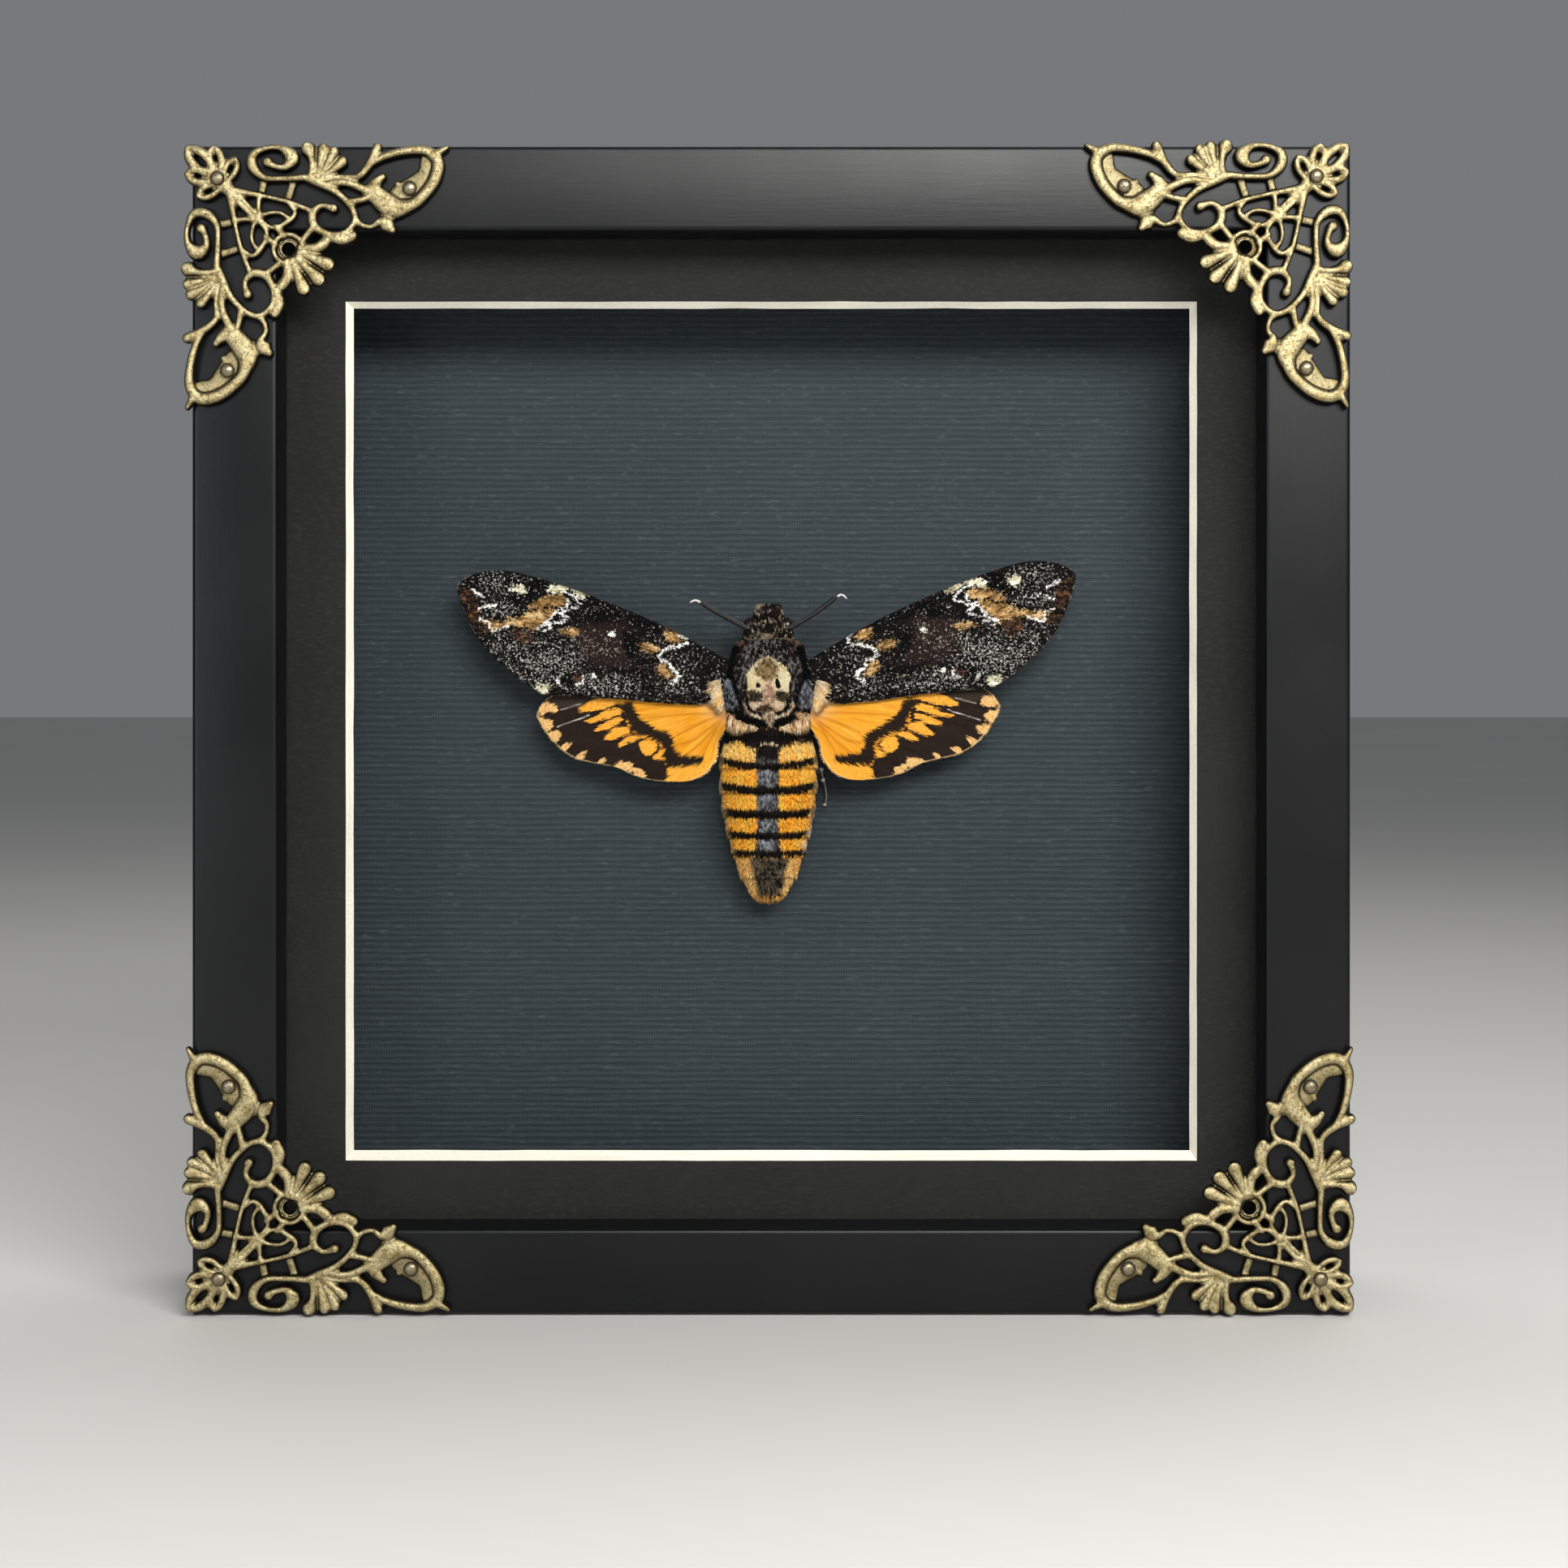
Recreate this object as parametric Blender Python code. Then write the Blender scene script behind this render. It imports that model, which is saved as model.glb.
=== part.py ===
"""A death's head hawkmoth, set with its wings spread in a black box frame.

The frame stands on its bottom edge: X runs to the right, Z up, and the front
faces -Y. The origin is under the middle of the frame. The moth lies on a card
at the back of the box, its back to the viewer and its head up. Lengths are in
metres; the plans of the moth and of the cast corners are drawn in millimetres.
"""
import math

import bmesh
import bpy
from mathutils import Matrix, Vector

MM = 0.001
GAP = 0.3 * MM                      # between pieces that touch

# The box frame
FRAME_WIDTH = 203 * MM
FRAME_HEIGHT = 204.8 * MM
FRAME_DEPTH = 40 * MM
FRONT_Y = -FRAME_DEPTH / 2
RAIL_FACE = 15 * MM                 # the rail's width seen from the front
RAIL_WALL = 8.6 * MM                # its width behind the lip
LIP_DEPTH = 9.3 * MM                # from the front face to the glass
RAIL_EDGE = 0.6 * MM                # the small bevel along its front edges

# What the rails hold, from the front to the back
GLASS_THICKNESS = 2 * MM
MAT_THICKNESS = 1.4 * MM
MAT_BEVEL = 1.25 * MM               # the slanted cut round the window
MAT_WINDOW = (-76.4 * MM, 76.3 * MM, 24.9 * MM, 179.0 * MM)
CARD_DEPTH = 33 * MM                # from the front face to the card's face
CARD_THICKNESS = 2 * MM
PANEL_THICKNESS = 3 * MM
CARD_Y = FRONT_Y + CARD_DEPTH

# The cast corners and their nails
CAST_RAISED = 1.8 * MM
CAST_SUNK = 1.0 * MM
CAST_STEP = 2.6                     # mm between the points of a curved strand
FUSED_BEND = math.radians(10)       # bends flatter than this are straightened
NAIL_RADIUS = 1.3 * MM
NAIL_HEIGHT = 0.9 * MM
# How far each corner is set past the frame's side edge and its top or bottom edge
CORNER_OVERHANG = {
    "top_left": (1.3 * MM, 0.1 * MM),
    "top_right": (-0.2 * MM, 0.5 * MM),
    "bottom_left": (1.1 * MM, -0.5 * MM),
    "bottom_right": (0.5 * MM, -0.5 * MM),
}

# The fittings on the back
BUTTON_LENGTH = 20 * MM
BUTTON_WIDTH = 8 * MM
BUTTON_THICKNESS = 1 * MM
BUTTON_HEIGHTS = (60 * MM, 145 * MM)
HANGER_LENGTH = 44 * MM
HANGER_WIDTH = 6.4 * MM
HANGER_TEETH = 10

# The moth: its middle line, the height of the thorax's middle, and its parts
MOTH_X = -0.64 * MM
MOTH_Z = 112.2 * MM
BODY_SIDES = 16
WING_THICKNESS = 0.5
VEIN_HEIGHT = 0.25
VEIN_HALF_WIDTH = 0.22
FORE_WING_LEVEL = (10.0, 8.0)       # above the card, at the root and at the tip
HIND_WING_LEVEL = (8.6, 6.8)
WING_ARCH = 0.5
RIGHT_WING_TURN = math.radians(2.4)  # the right wings are set a little higher
SEGMENTS = 7
EYE_RADIUS = 1.6
EYE_PLACE = (3.2, 8.2, 8.85)        # across, above the card, along
LEG_RADIUS = 0.42
FEELER_RADIUS = 0.36

COLOURS = {
    "frame_black": ((0.028, 0.032, 0.036), 0.45, 0.0),
    "clear_glass": ((0.80, 0.85, 0.84), 0.05, 0.0),
    "mat_black": ((0.016, 0.014, 0.013), 0.85, 0.0),
    "card_slate": ((0.055, 0.085, 0.105), 0.80, 0.0),
    "panel_brown": ((0.18, 0.11, 0.06), 0.80, 0.0),
    "cast_brass": ((0.42, 0.36, 0.21), 0.38, 1.0),
    "nail_brass": ((0.40, 0.36, 0.25), 0.32, 1.0),
    "fitting_steel": ((0.45, 0.45, 0.46), 0.35, 1.0),
    "moth_fur_dark": ((0.030, 0.026, 0.024), 0.90, 0.0),
    "moth_fur_yellow": ((0.42, 0.20, 0.035), 0.90, 0.0),
    "moth_fore_wing": ((0.045, 0.038, 0.036), 0.75, 0.0),
    "moth_hind_wing": ((0.55, 0.26, 0.03), 0.75, 0.0),
    "moth_leg_dark": ((0.035, 0.028, 0.024), 0.55, 0.0),
    "moth_eye_dark": ((0.010, 0.008, 0.008), 0.15, 0.0),
}


def clear_scene():
    for thing in list(bpy.data.objects):
        bpy.data.objects.remove(thing, do_unlink=True)


def new_collection(name):
    group = bpy.data.collections.new(name)
    bpy.context.scene.collection.children.link(group)
    return group


def make_material(name):
    colour, roughness, metallic = COLOURS[name]
    finish = bpy.data.materials.new(name)
    finish.use_nodes = True
    shader = finish.node_tree.nodes["Principled BSDF"]
    shader.inputs["Base Color"].default_value = (*colour, 1)
    shader.inputs["Roughness"].default_value = roughness
    shader.inputs["Metallic"].default_value = metallic
    return finish


def add_object(name, mesh, finish, group, location=(0, 0, 0), turn=0, parent=None):
    """Link a mesh as an object; turn is its rotation about Y."""
    thing = bpy.data.objects.new(name, mesh)
    thing.location = location
    thing.rotation_euler = (0, turn, 0)
    thing.parent = parent
    if not mesh.materials:
        mesh.materials.append(finish)
    group.objects.link(thing)
    return thing


def mesh_from(work, name, smooth_angle=None):
    """Turn a bmesh into a mesh, faces outward, round parts shaded smooth."""
    bmesh.ops.recalc_face_normals(work, faces=work.faces)
    mesh = bpy.data.meshes.new(name)
    work.to_mesh(mesh)
    work.free()
    if smooth_angle is not None:
        mesh.shade_smooth()
        mesh.set_sharp_from_angle(angle=smooth_angle)
    return mesh


def box_mesh(name, low, high):
    work = bmesh.new()
    bmesh.ops.create_cube(work, size=1)
    size = Vector(high) - Vector(low)
    middle = (Vector(high) + Vector(low)) / 2
    bmesh.ops.scale(work, vec=size, verts=work.verts)
    bmesh.ops.translate(work, vec=middle, verts=work.verts)
    return mesh_from(work, name)


def evaluated_mesh(thing):
    """The mesh that an object's modifiers or curve settings give."""
    graph = bpy.context.evaluated_depsgraph_get()
    return bpy.data.meshes.new_from_object(thing.evaluated_get(graph))


def curve_to_object(curve, name, group):
    """Make a curve a closed mesh object: its caps are welded on."""
    holder = bpy.data.objects.new(name + "_curve", curve)
    group.objects.link(holder)
    bpy.context.view_layer.update()
    work = bmesh.new()
    work.from_mesh(evaluated_mesh(holder))
    bmesh.ops.remove_doubles(work, verts=work.verts, dist=0.001 * MM)
    mesh = mesh_from(work, name)
    thing = bpy.data.objects.new(name, mesh)
    thing.matrix_world = holder.matrix_world.copy()
    group.objects.link(thing)
    bpy.data.objects.remove(holder, do_unlink=True)
    return thing


def outline_plate(name, outlines, thickness, group):
    """A flat plate from closed outlines in mm, standing from z = 0 to its thickness."""
    curve = bpy.data.curves.new(name, "CURVE")
    curve.dimensions = "2D"
    curve.fill_mode = "BOTH"
    curve.extrude = thickness / 2
    for outline in outlines:
        spline = curve.splines.new("POLY")
        spline.points.add(len(outline) - 1)
        for point, (x, y) in zip(spline.points, outline):
            point.co = (x * MM, y * MM, 0, 1)
        spline.use_cyclic_u = True
    plate = curve_to_object(curve, name, group)
    plate.data.transform(Matrix.Translation((0, 0, thickness / 2)))
    return plate


def tube(name, points, radius, group, taper=None):
    """A round rod along points in mm; taper lists the radius factor of each point."""
    curve = bpy.data.curves.new(name, "CURVE")
    curve.dimensions = "3D"
    curve.bevel_depth = radius * MM
    curve.bevel_resolution = 1
    curve.use_fill_caps = True
    spline = curve.splines.new("POLY")
    spline.points.add(len(points) - 1)
    for i, place in enumerate(points):
        spline.points[i].co = (*(Vector(place) * MM), 1)
        spline.points[i].radius = taper[i] if taper else 1
    return curve_to_object(curve, name, group)


def largest_closed_surface(work):
    """Delete every shell but the one with the most surface."""
    left = set(work.faces)
    shells = []
    while left:
        seed = left.pop()
        shell = {seed}
        edge_of_search = [seed]
        while edge_of_search:
            face = edge_of_search.pop()
            near = {other for edge in face.edges for other in edge.link_faces} & left
            left -= near
            shell |= near
            edge_of_search.extend(near)
        shells.append(shell)
    shells.sort(key=lambda shell: sum(face.calc_area() for face in shell))
    for shell in shells[:-1]:
        bmesh.ops.delete(work, geom=list(shell), context="FACES")


def fuse(name, pieces, smooth_angle=None):
    """Join closed mesh objects to one closed mesh and remove them."""
    base = pieces[0]
    others = bpy.data.collections.new(name + "_others")
    for piece in pieces[1:]:
        others.objects.link(piece)
    union = base.modifiers.new("union", "BOOLEAN")
    union.operation = "UNION"
    union.operand_type = "COLLECTION"
    union.collection = others
    bpy.context.view_layer.update()
    work = bmesh.new()
    work.from_mesh(evaluated_mesh(base))
    work.transform(base.matrix_world)
    for piece in pieces:
        bpy.data.objects.remove(piece, do_unlink=True)
    bpy.data.collections.remove(others)
    bmesh.ops.remove_doubles(work, verts=work.verts, dist=0.002 * MM)
    bmesh.ops.dissolve_limit(work, angle_limit=FUSED_BEND, verts=work.verts, edges=work.edges)
    bmesh.ops.triangulate(work, faces=work.faces)
    largest_closed_surface(work)
    return mesh_from(work, name, smooth_angle)


def smooth_path(points, step):
    """A smooth curve through the points, with further ones about every step."""
    path = [Vector(point) for point in points]
    path = [path[0] * 2 - path[1]] + path + [path[-1] * 2 - path[-2]]
    curve = []
    for before, start, end, after in zip(path, path[1:], path[2:], path[3:]):
        count = max(1, round((end - start).length / step))
        for k in range(count):
            t = k / count
            bend = 2 * before - 5 * start + 4 * end - after
            twist = 3 * start - before - 3 * end + after
            curve.append((2 * start + (end - before) * t + bend * t ** 2 + twist * t ** 3) / 2)
    curve.append(path[-2])
    return curve


def path_at(path, share):
    """The point at a share of a path's length."""
    lengths = [(b - a).length for a, b in zip(path, path[1:])]
    left = share * sum(lengths)
    for start, end, length in zip(path, path[1:], lengths):
        if left <= length:
            return start.lerp(end, left / length)
        left -= length
    return path[-1].copy()


# The rails and what they hold

def rail_mesh(name, length, half_span):
    """A rail along X with mitred ends; its outer edge lies at z = -half_span."""
    profile = [
        (RAIL_EDGE, 0), (RAIL_FACE - RAIL_EDGE, 0), (RAIL_FACE, RAIL_EDGE),
        (RAIL_FACE, LIP_DEPTH), (RAIL_WALL, LIP_DEPTH), (RAIL_WALL, FRAME_DEPTH),
        (0, FRAME_DEPTH), (0, RAIL_EDGE),
    ]
    mitre = GAP / math.sqrt(2)
    work = bmesh.new()
    start = [work.verts.new((-length / 2 + inward + mitre, FRONT_Y + depth, inward - half_span))
             for inward, depth in profile]
    face = work.faces.new(start)
    grown = bmesh.ops.extrude_face_region(work, geom=[face])["geom"]
    for vert in grown:
        if isinstance(vert, bmesh.types.BMVert):
            vert.co.x = -vert.co.x
    return mesh_from(work, name)


def build_rails(group, finish):
    middle = (0, 0, FRAME_HEIGHT / 2)
    sides = {
        "bottom": (FRAME_WIDTH, FRAME_HEIGHT, 0),
        "left": (FRAME_HEIGHT, FRAME_WIDTH, math.pi / 2),
        "top": (FRAME_WIDTH, FRAME_HEIGHT, math.pi),
        "right": (FRAME_HEIGHT, FRAME_WIDTH, -math.pi / 2),
    }
    for side, (length, span, turn) in sides.items():
        name = "frame_rail_" + side
        add_object(name, rail_mesh(name, length, span / 2), finish, group, middle, turn)


def sheet_between(name, depth, thickness):
    """A flat sheet that fills the box between the walls of the rails."""
    inset = RAIL_WALL + GAP
    low = (-FRAME_WIDTH / 2 + inset, FRONT_Y + depth, inset)
    high = (FRAME_WIDTH / 2 - inset, FRONT_Y + depth + thickness, FRAME_HEIGHT - inset)
    return box_mesh(name, low, high)


def build_sheets(group, cutters, finishes):
    glass_depth = LIP_DEPTH + GAP
    mat_depth = glass_depth + GLASS_THICKNESS + GAP
    panel_depth = CARD_DEPTH + CARD_THICKNESS + GAP
    add_object("glass_pane", sheet_between("glass_pane", glass_depth, GLASS_THICKNESS),
               finishes["clear_glass"], group)
    add_object("backing_card", sheet_between("backing_card", CARD_DEPTH, CARD_THICKNESS),
               finishes["card_slate"], group)
    add_object("back_panel", sheet_between("back_panel", panel_depth, PANEL_THICKNESS),
               finishes["panel_brown"], group)
    mat = add_object("mat_board", sheet_between("mat_board", mat_depth, MAT_THICKNESS),
                     finishes["mat_black"], group)

    # The cutter is wider in front, so the window gets its slanted edge.
    reach = 1 * MM
    slope = MAT_BEVEL / MAT_THICKNESS
    left, right, bottom, top = MAT_WINDOW
    front = FRONT_Y + mat_depth
    cutter_mesh = box_mesh("mat_window", (left, front - reach, bottom),
                           (right, front + MAT_THICKNESS + reach, top))
    middle = Vector(((left + right) / 2, 0, (bottom + top) / 2))
    for vert in cutter_mesh.vertices:
        widen = slope * (front - vert.co.y)
        vert.co.x += math.copysign(widen, vert.co.x - middle.x)
        vert.co.z += math.copysign(widen, vert.co.z - middle.z)
    cutter = bpy.data.objects.new("mat_window", cutter_mesh)
    cutter.hide_render = True
    cutter.display_type = "WIRE"
    cutters.objects.link(cutter)
    window = mat.modifiers.new("window", "BOOLEAN")
    window.object = cutter
    window.operation = "DIFFERENCE"


# The cast corners: strands drawn in mm from the corner's tip, (along, across, width).
# Each stands on one side of the diagonal and has a twin on the other.
STRANDS = [
    # the outer volute, from the shell back round to its curled end
    [(21.5, 6.0, 1.1), (17.5, 6.2, 0.9), (14.3, 6.0, 1.0), (12.3, 4.2, 1.5), (12.3, 2.1, 1.3),
     (14.6, 0.9, 0.8), (17.3, 0.9, 1.0), (19.1, 2.5, 2.1), (17.9, 4.2, 1.1), (15.8, 3.9, 1.0),
     (14.8, 3.3, 1.2)],
    # the big scroll that turns inward under the shell
    [(21.5, 6.0, 1.1), (23.4, 6.7, 1.4), (27.0, 8.6, 1.1), (29.6, 11.3, 1.0), (30.1, 13.6, 1.0),
     (28.3, 15.7, 1.0), (25.6, 15.9, 1.0), (23.2, 14.6, 1.3), (22.7, 12.4, 1.3),
     (24.3, 10.9, 0.9), (26.4, 11.4, 1.2)],
    # the four petals of the shell
    [(22.3, 0.6, 1.9), (22.7, 2.0, 1.2), (22.6, 4.0, 1.1), (22.3, 6.0, 1.0)],
    [(24.8, 0.6, 1.5), (24.4, 2.2, 1.0), (23.6, 5.9, 0.9)],
    [(26.6, 1.1, 1.7), (25.8, 2.8, 1.2), (24.0, 5.9, 0.9)],
    [(28.3, 3.1, 1.5), (26.8, 4.3, 1.1), (24.2, 6.1, 1.0)],
    # the branch that ends in a spike
    [(24.2, 6.3, 0.9), (27.5, 5.8, 0.7), (30.6, 5.9, 1.0), (32.6, 3.8, 1.2), (34.0, 0.9, 1.4)],
    # the tear-drop loop: thin above, a thick crescent below
    [(32.9, 3.6, 1.0), (35.1, 2.4, 1.1), (38.8, 1.4, 1.2), (42.4, 1.3, 1.4), (44.6, 3.2, 1.7),
     (43.9, 6.6, 1.7), (41.3, 9.9, 1.6), (39.2, 11.0, 1.9), (36.8, 11.2, 3.0), (34.2, 9.3, 2.7),
     (33.4, 7.6, 2.1), (34.9, 5.8, 0.9)],
    [(44.3, 1.9, 1.2), (46.2, 0.8, 0.7)],
    # the bud between the scroll and the loop
    [(25.2, 7.1, 1.0), (28.8, 6.9, 1.2), (32.4, 8.4, 1.3)],
    [(29.2, 10.3, 1.1), (31.6, 9.8, 1.0), (33.2, 9.2, 1.0)],
    # the small link and the kite at its end
    [(29.9, 12.3, 0.9), (31.0, 14.1, 0.9), (33.0, 14.6, 0.8), (34.4, 13.7, 1.2), (35.6, 14.1, 2.2),
     (36.6, 15.1, 1.2)],
    # the drop under the scroll
    [(25.6, 16.3, 1.4), (27.6, 16.7, 1.4), (29.6, 16.3, 1.3)],
    # the straight stem, the tie above it and the strut below it
    [(8.6, 8.3, 1.4), (13.5, 9.1, 0.8), (18.6, 10.3, 0.8), (22.7, 11.9, 0.9)],
    [(13.5, 9.1, 0.9), (13.3, 11.0, 0.8), (13.4, 13.1, 0.8)],
    [(14.2, 6.1, 1.1), (13.6, 9.0, 1.1)],
    [(19.5, 6.1, 1.1), (18.2, 10.0, 1.1)],
    # the eye-shaped leaf
    [(13.1, 13.0, 0.9), (15.1, 12.2, 0.7), (17.2, 12.2, 0.7), (18.9, 13.4, 0.8)],
    [(13.1, 13.1, 0.9), (15.8, 14.8, 0.7), (18.4, 13.7, 0.9), (19.7, 12.2, 0.8),
     (18.6, 10.4, 0.8)],
    # one of the two strands down the diagonal, and the links to the ring
    [(9.4, 8.8, 0.9), (12.9, 12.4, 0.8)],
    [(16.4, 14.6, 1.0), (17.7, 16.2, 1.0)],
    [(23.0, 14.4, 1.0), (21.0, 17.0, 1.0)],
    # petals with ball ends, spread from the ring
    [(20.2, 19.9, 0.9), (23.2, 20.6, 1.2), (25.4, 21.1, 2.3)],
    [(20.5, 18.3, 0.9), (23.9, 18.4, 1.5), (25.0, 16.4, 1.5)],
]
SUNK_STRANDS = [
    # the sunk web of the loop, where a nail goes through
    [(42.9, 3.1, 1.8), (42.9, 5.2, 2.4), (41.2, 7.2, 3.2), (38.2, 8.9, 2.6)],
    [(34.9, 11.0, 1.0), (34.9, 13.6, 1.0)],
]
MIDDLE_STRANDS = [
    # on the diagonal itself, so without a twin
    [(19.9, 19.9, 0.9), (22.0, 22.0, 1.1), (23.7, 23.7, 2.3)],
    [(7.0, 7.0, 2.2), (9.4, 9.4, 1.6)],
]
# Leaves round the corner: (direction in degrees, length, width, slit length)
LEAF_BASE = (6.2, 6.2)
LEAVES = [(225, 7.9, 4.4, 3.2), (181, 5.9, 3.5, 2.4), (269, 5.9, 3.5, 2.4),
          (139, 5.9, 3.1, 2.3), (311, 5.9, 3.1, 2.3)]
RING_MIDDLE = 18.5
RING_OUTER = 3.3
RING_HOLE = 1.2
NAIL_PLACES = [(6.3, 6.3), (39.7, 7.9), (7.9, 39.7)]


def strand_outline(strand):
    """The outline of a strand of changing width, with a blunt point at each end."""
    path = smooth_path(strand, CAST_STEP)
    left = []
    right = []
    for i, point in enumerate(path):
        ahead = path[min(i + 1, len(path) - 1)]
        behind = path[max(i - 1, 0)]
        along = (ahead - behind).to_2d().normalized()
        side = Vector((-along.y, along.x)) * point.z / 2
        left.append(point.to_2d() + side)
        right.append(point.to_2d() - side)
        if i == 0:
            tail = point.to_2d() - along * point.z / 2
    tip = path[-1].to_2d() + along * path[-1].z / 2
    return [tail] + left + [tip] + right[::-1]


def leaf_outlines(direction, length, width, slit):
    """A leaf from the corner's heart, with its narrow slit."""
    turn = Matrix.Rotation(math.radians(direction), 2)
    shares = [(0.0, 0.25), (0.35, 0.42), (0.65, 0.5), (0.88, 0.36), (1.0, 0.0)]
    half = [Vector((length * along, width * across)) for along, across in shares]
    outline = half + [Vector((p.x, -p.y)) for p in half[-2::-1]]
    near = length * 0.42
    hole = [Vector((near, 0)), Vector((near + slit / 2, 0.4)), Vector((near + slit, 0)),
            Vector((near + slit / 2, -0.4))]
    base = Vector(LEAF_BASE)
    return [[turn @ p + base for p in outline], [turn @ p + base for p in hole]]


def circle(middle, radius, count):
    return [Vector((middle[0] + radius * math.cos(2 * math.pi * k / count),
                    middle[1] + radius * math.sin(2 * math.pi * k / count)))
            for k in range(count)]


def twin(strand):
    return [(b, a, width) for a, b, width in strand]


def cast_corner_mesh(group):
    """The cast corner, its tip at the origin, spreading to +X and -Z, its back at y = 0."""
    raised = STRANDS + [twin(strand) for strand in STRANDS] + MIDDLE_STRANDS
    sunk = SUNK_STRANDS + [twin(strand) for strand in SUNK_STRANDS]
    ring_middle = (RING_MIDDLE, RING_MIDDLE)
    outlines = [[circle(ring_middle, RING_OUTER, 14), circle(ring_middle, RING_HOLE, 8)]]
    outlines += [leaf_outlines(*leaf) for leaf in LEAVES]
    outlines += [[strand_outline(strand)] for strand in raised]
    levels = [(outline, CAST_RAISED) for outline in outlines]
    levels += [([strand_outline(strand)], CAST_SUNK) for strand in sunk]
    pieces = []
    for outline, thickness in levels:
        plan = [[(along, -across) for along, across in line] for line in outline]
        pieces.append(outline_plate("cast_piece", plan, thickness, group))
    mesh = fuse("cast_corner", pieces)
    mesh.transform(Matrix.Rotation(math.pi / 2, 4, "X"))
    return mesh


def nail_mesh():
    """A low round head, its flat side at y = 0."""
    profile = [(0, 1), (0.5, 0.86), (0.87, 0.5), (1, 0)]
    sides = 10
    work = bmesh.new()
    rings = []
    for across, up in profile[1:]:
        radius = NAIL_RADIUS * across
        rings.append([work.verts.new((radius * math.cos(2 * math.pi * k / sides),
                                      -NAIL_HEIGHT * up,
                                      radius * math.sin(2 * math.pi * k / sides)))
                      for k in range(sides)])
    top = work.verts.new((0, -NAIL_HEIGHT, 0))
    for k in range(sides):
        after = (k + 1) % sides
        work.faces.new((top, rings[0][k], rings[0][after]))
        for inner, outer in zip(rings, rings[1:]):
            work.faces.new((inner[k], outer[k], outer[after], inner[after]))
    work.faces.new(rings[-1])
    return mesh_from(work, "nail_head", math.radians(50))


def build_corners(group, finishes):
    corner = cast_corner_mesh(group)
    nail = nail_mesh()
    cast_back = FRONT_Y - GAP
    nail_back = cast_back - CAST_RAISED - GAP
    web_back = cast_back - CAST_SUNK - GAP
    turns = {"top_left": 0, "top_right": 1, "bottom_right": 2, "bottom_left": 3}
    for place, quarter in turns.items():
        aside, beyond = CORNER_OVERHANG[place]
        x = FRAME_WIDTH / 2 + aside
        z = FRAME_HEIGHT + beyond if "top" in place else -beyond
        tip = Vector((-x if "left" in place else x, cast_back, z))
        turn = quarter * math.pi / 2
        add_object("corner_ornament_" + place, corner, finishes["cast_brass"], group, tip, turn)
        about = Matrix.Rotation(turn, 3, "Y")
        for number, (along, across) in enumerate(NAIL_PLACES, start=1):
            spot = tip + about @ Vector((along * MM, 0, -across * MM))
            spot.y = nail_back if number == 1 else web_back
            add_object(f"ornament_nail_{place}_{number}", nail, finishes["nail_brass"],
                       group, spot)


# The fittings on the back

def build_fittings(group, finishes):
    steel = finishes["fitting_steel"]
    back_y = FRAME_DEPTH / 2 + GAP
    straight = BUTTON_LENGTH / 2 - BUTTON_WIDTH / 2
    outline = []
    for end in (1, -1):
        for k in range(7):
            angle = math.pi * (k / 6 - 0.5)
            outline.append((end * (straight + math.cos(angle) * BUTTON_WIDTH / 2) / MM,
                            end * math.sin(angle) * BUTTON_WIDTH / 2 / MM))
    button = outline_plate("button", [outline], BUTTON_THICKNESS, group)
    button_mesh = button.data.copy()
    bpy.data.objects.remove(button, do_unlink=True)
    button_mesh.transform(Matrix.Rotation(-math.pi / 2, 4, "X"))
    screw = nail_mesh()
    screw.transform(Matrix.Rotation(math.pi, 4, "Z"))
    number = 0
    for side in (-1, 1):
        for height in BUTTON_HEIGHTS:
            number += 1
            pivot = side * (FRAME_WIDTH / 2 - RAIL_WALL / 2)
            middle = pivot - side * straight
            add_object(f"turn_button_{number}", button_mesh, steel, group,
                       (middle, back_y, height))
            add_object(f"turn_button_screw_{number}", screw, steel, group,
                       (pivot, back_y + BUTTON_THICKNESS + GAP, height))

    length = HANGER_LENGTH / MM
    width = HANGER_WIDTH / MM
    notch = 1.2
    pitch = (length - 12) / HANGER_TEETH
    teeth = [(-length / 2, 0)]
    for k in range(HANGER_TEETH):
        start = -length / 2 + 6 + k * pitch
        teeth += [(start, 0), (start + pitch / 2, notch)]
    teeth += [(length / 2 - 6, 0), (length / 2, 0), (length / 2, width), (-length / 2, width)]
    hanger = outline_plate("hanger", [teeth], BUTTON_THICKNESS, group)
    hanger_mesh = hanger.data.copy()
    bpy.data.objects.remove(hanger, do_unlink=True)
    hanger_mesh.transform(Matrix.Rotation(math.pi / 2, 4, "X"))
    hanger_mesh.transform(Matrix.Translation((0, BUTTON_THICKNESS, 0)))
    bottom = FRAME_HEIGHT - RAIL_WALL / 2 - HANGER_WIDTH / 2
    add_object("hanger_plate", hanger_mesh, steel, group, (0, back_y, bottom))
    for side, name in ((-1, "left"), (1, "right")):
        add_object("hanger_nail_" + name, screw, steel, group,
                   (side * (HANGER_LENGTH / 2 - 3 * MM), back_y + BUTTON_THICKNESS + GAP,
                    bottom + HANGER_WIDTH / 2))


# The moth: places are (across, above the card, along the body), in mm

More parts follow.
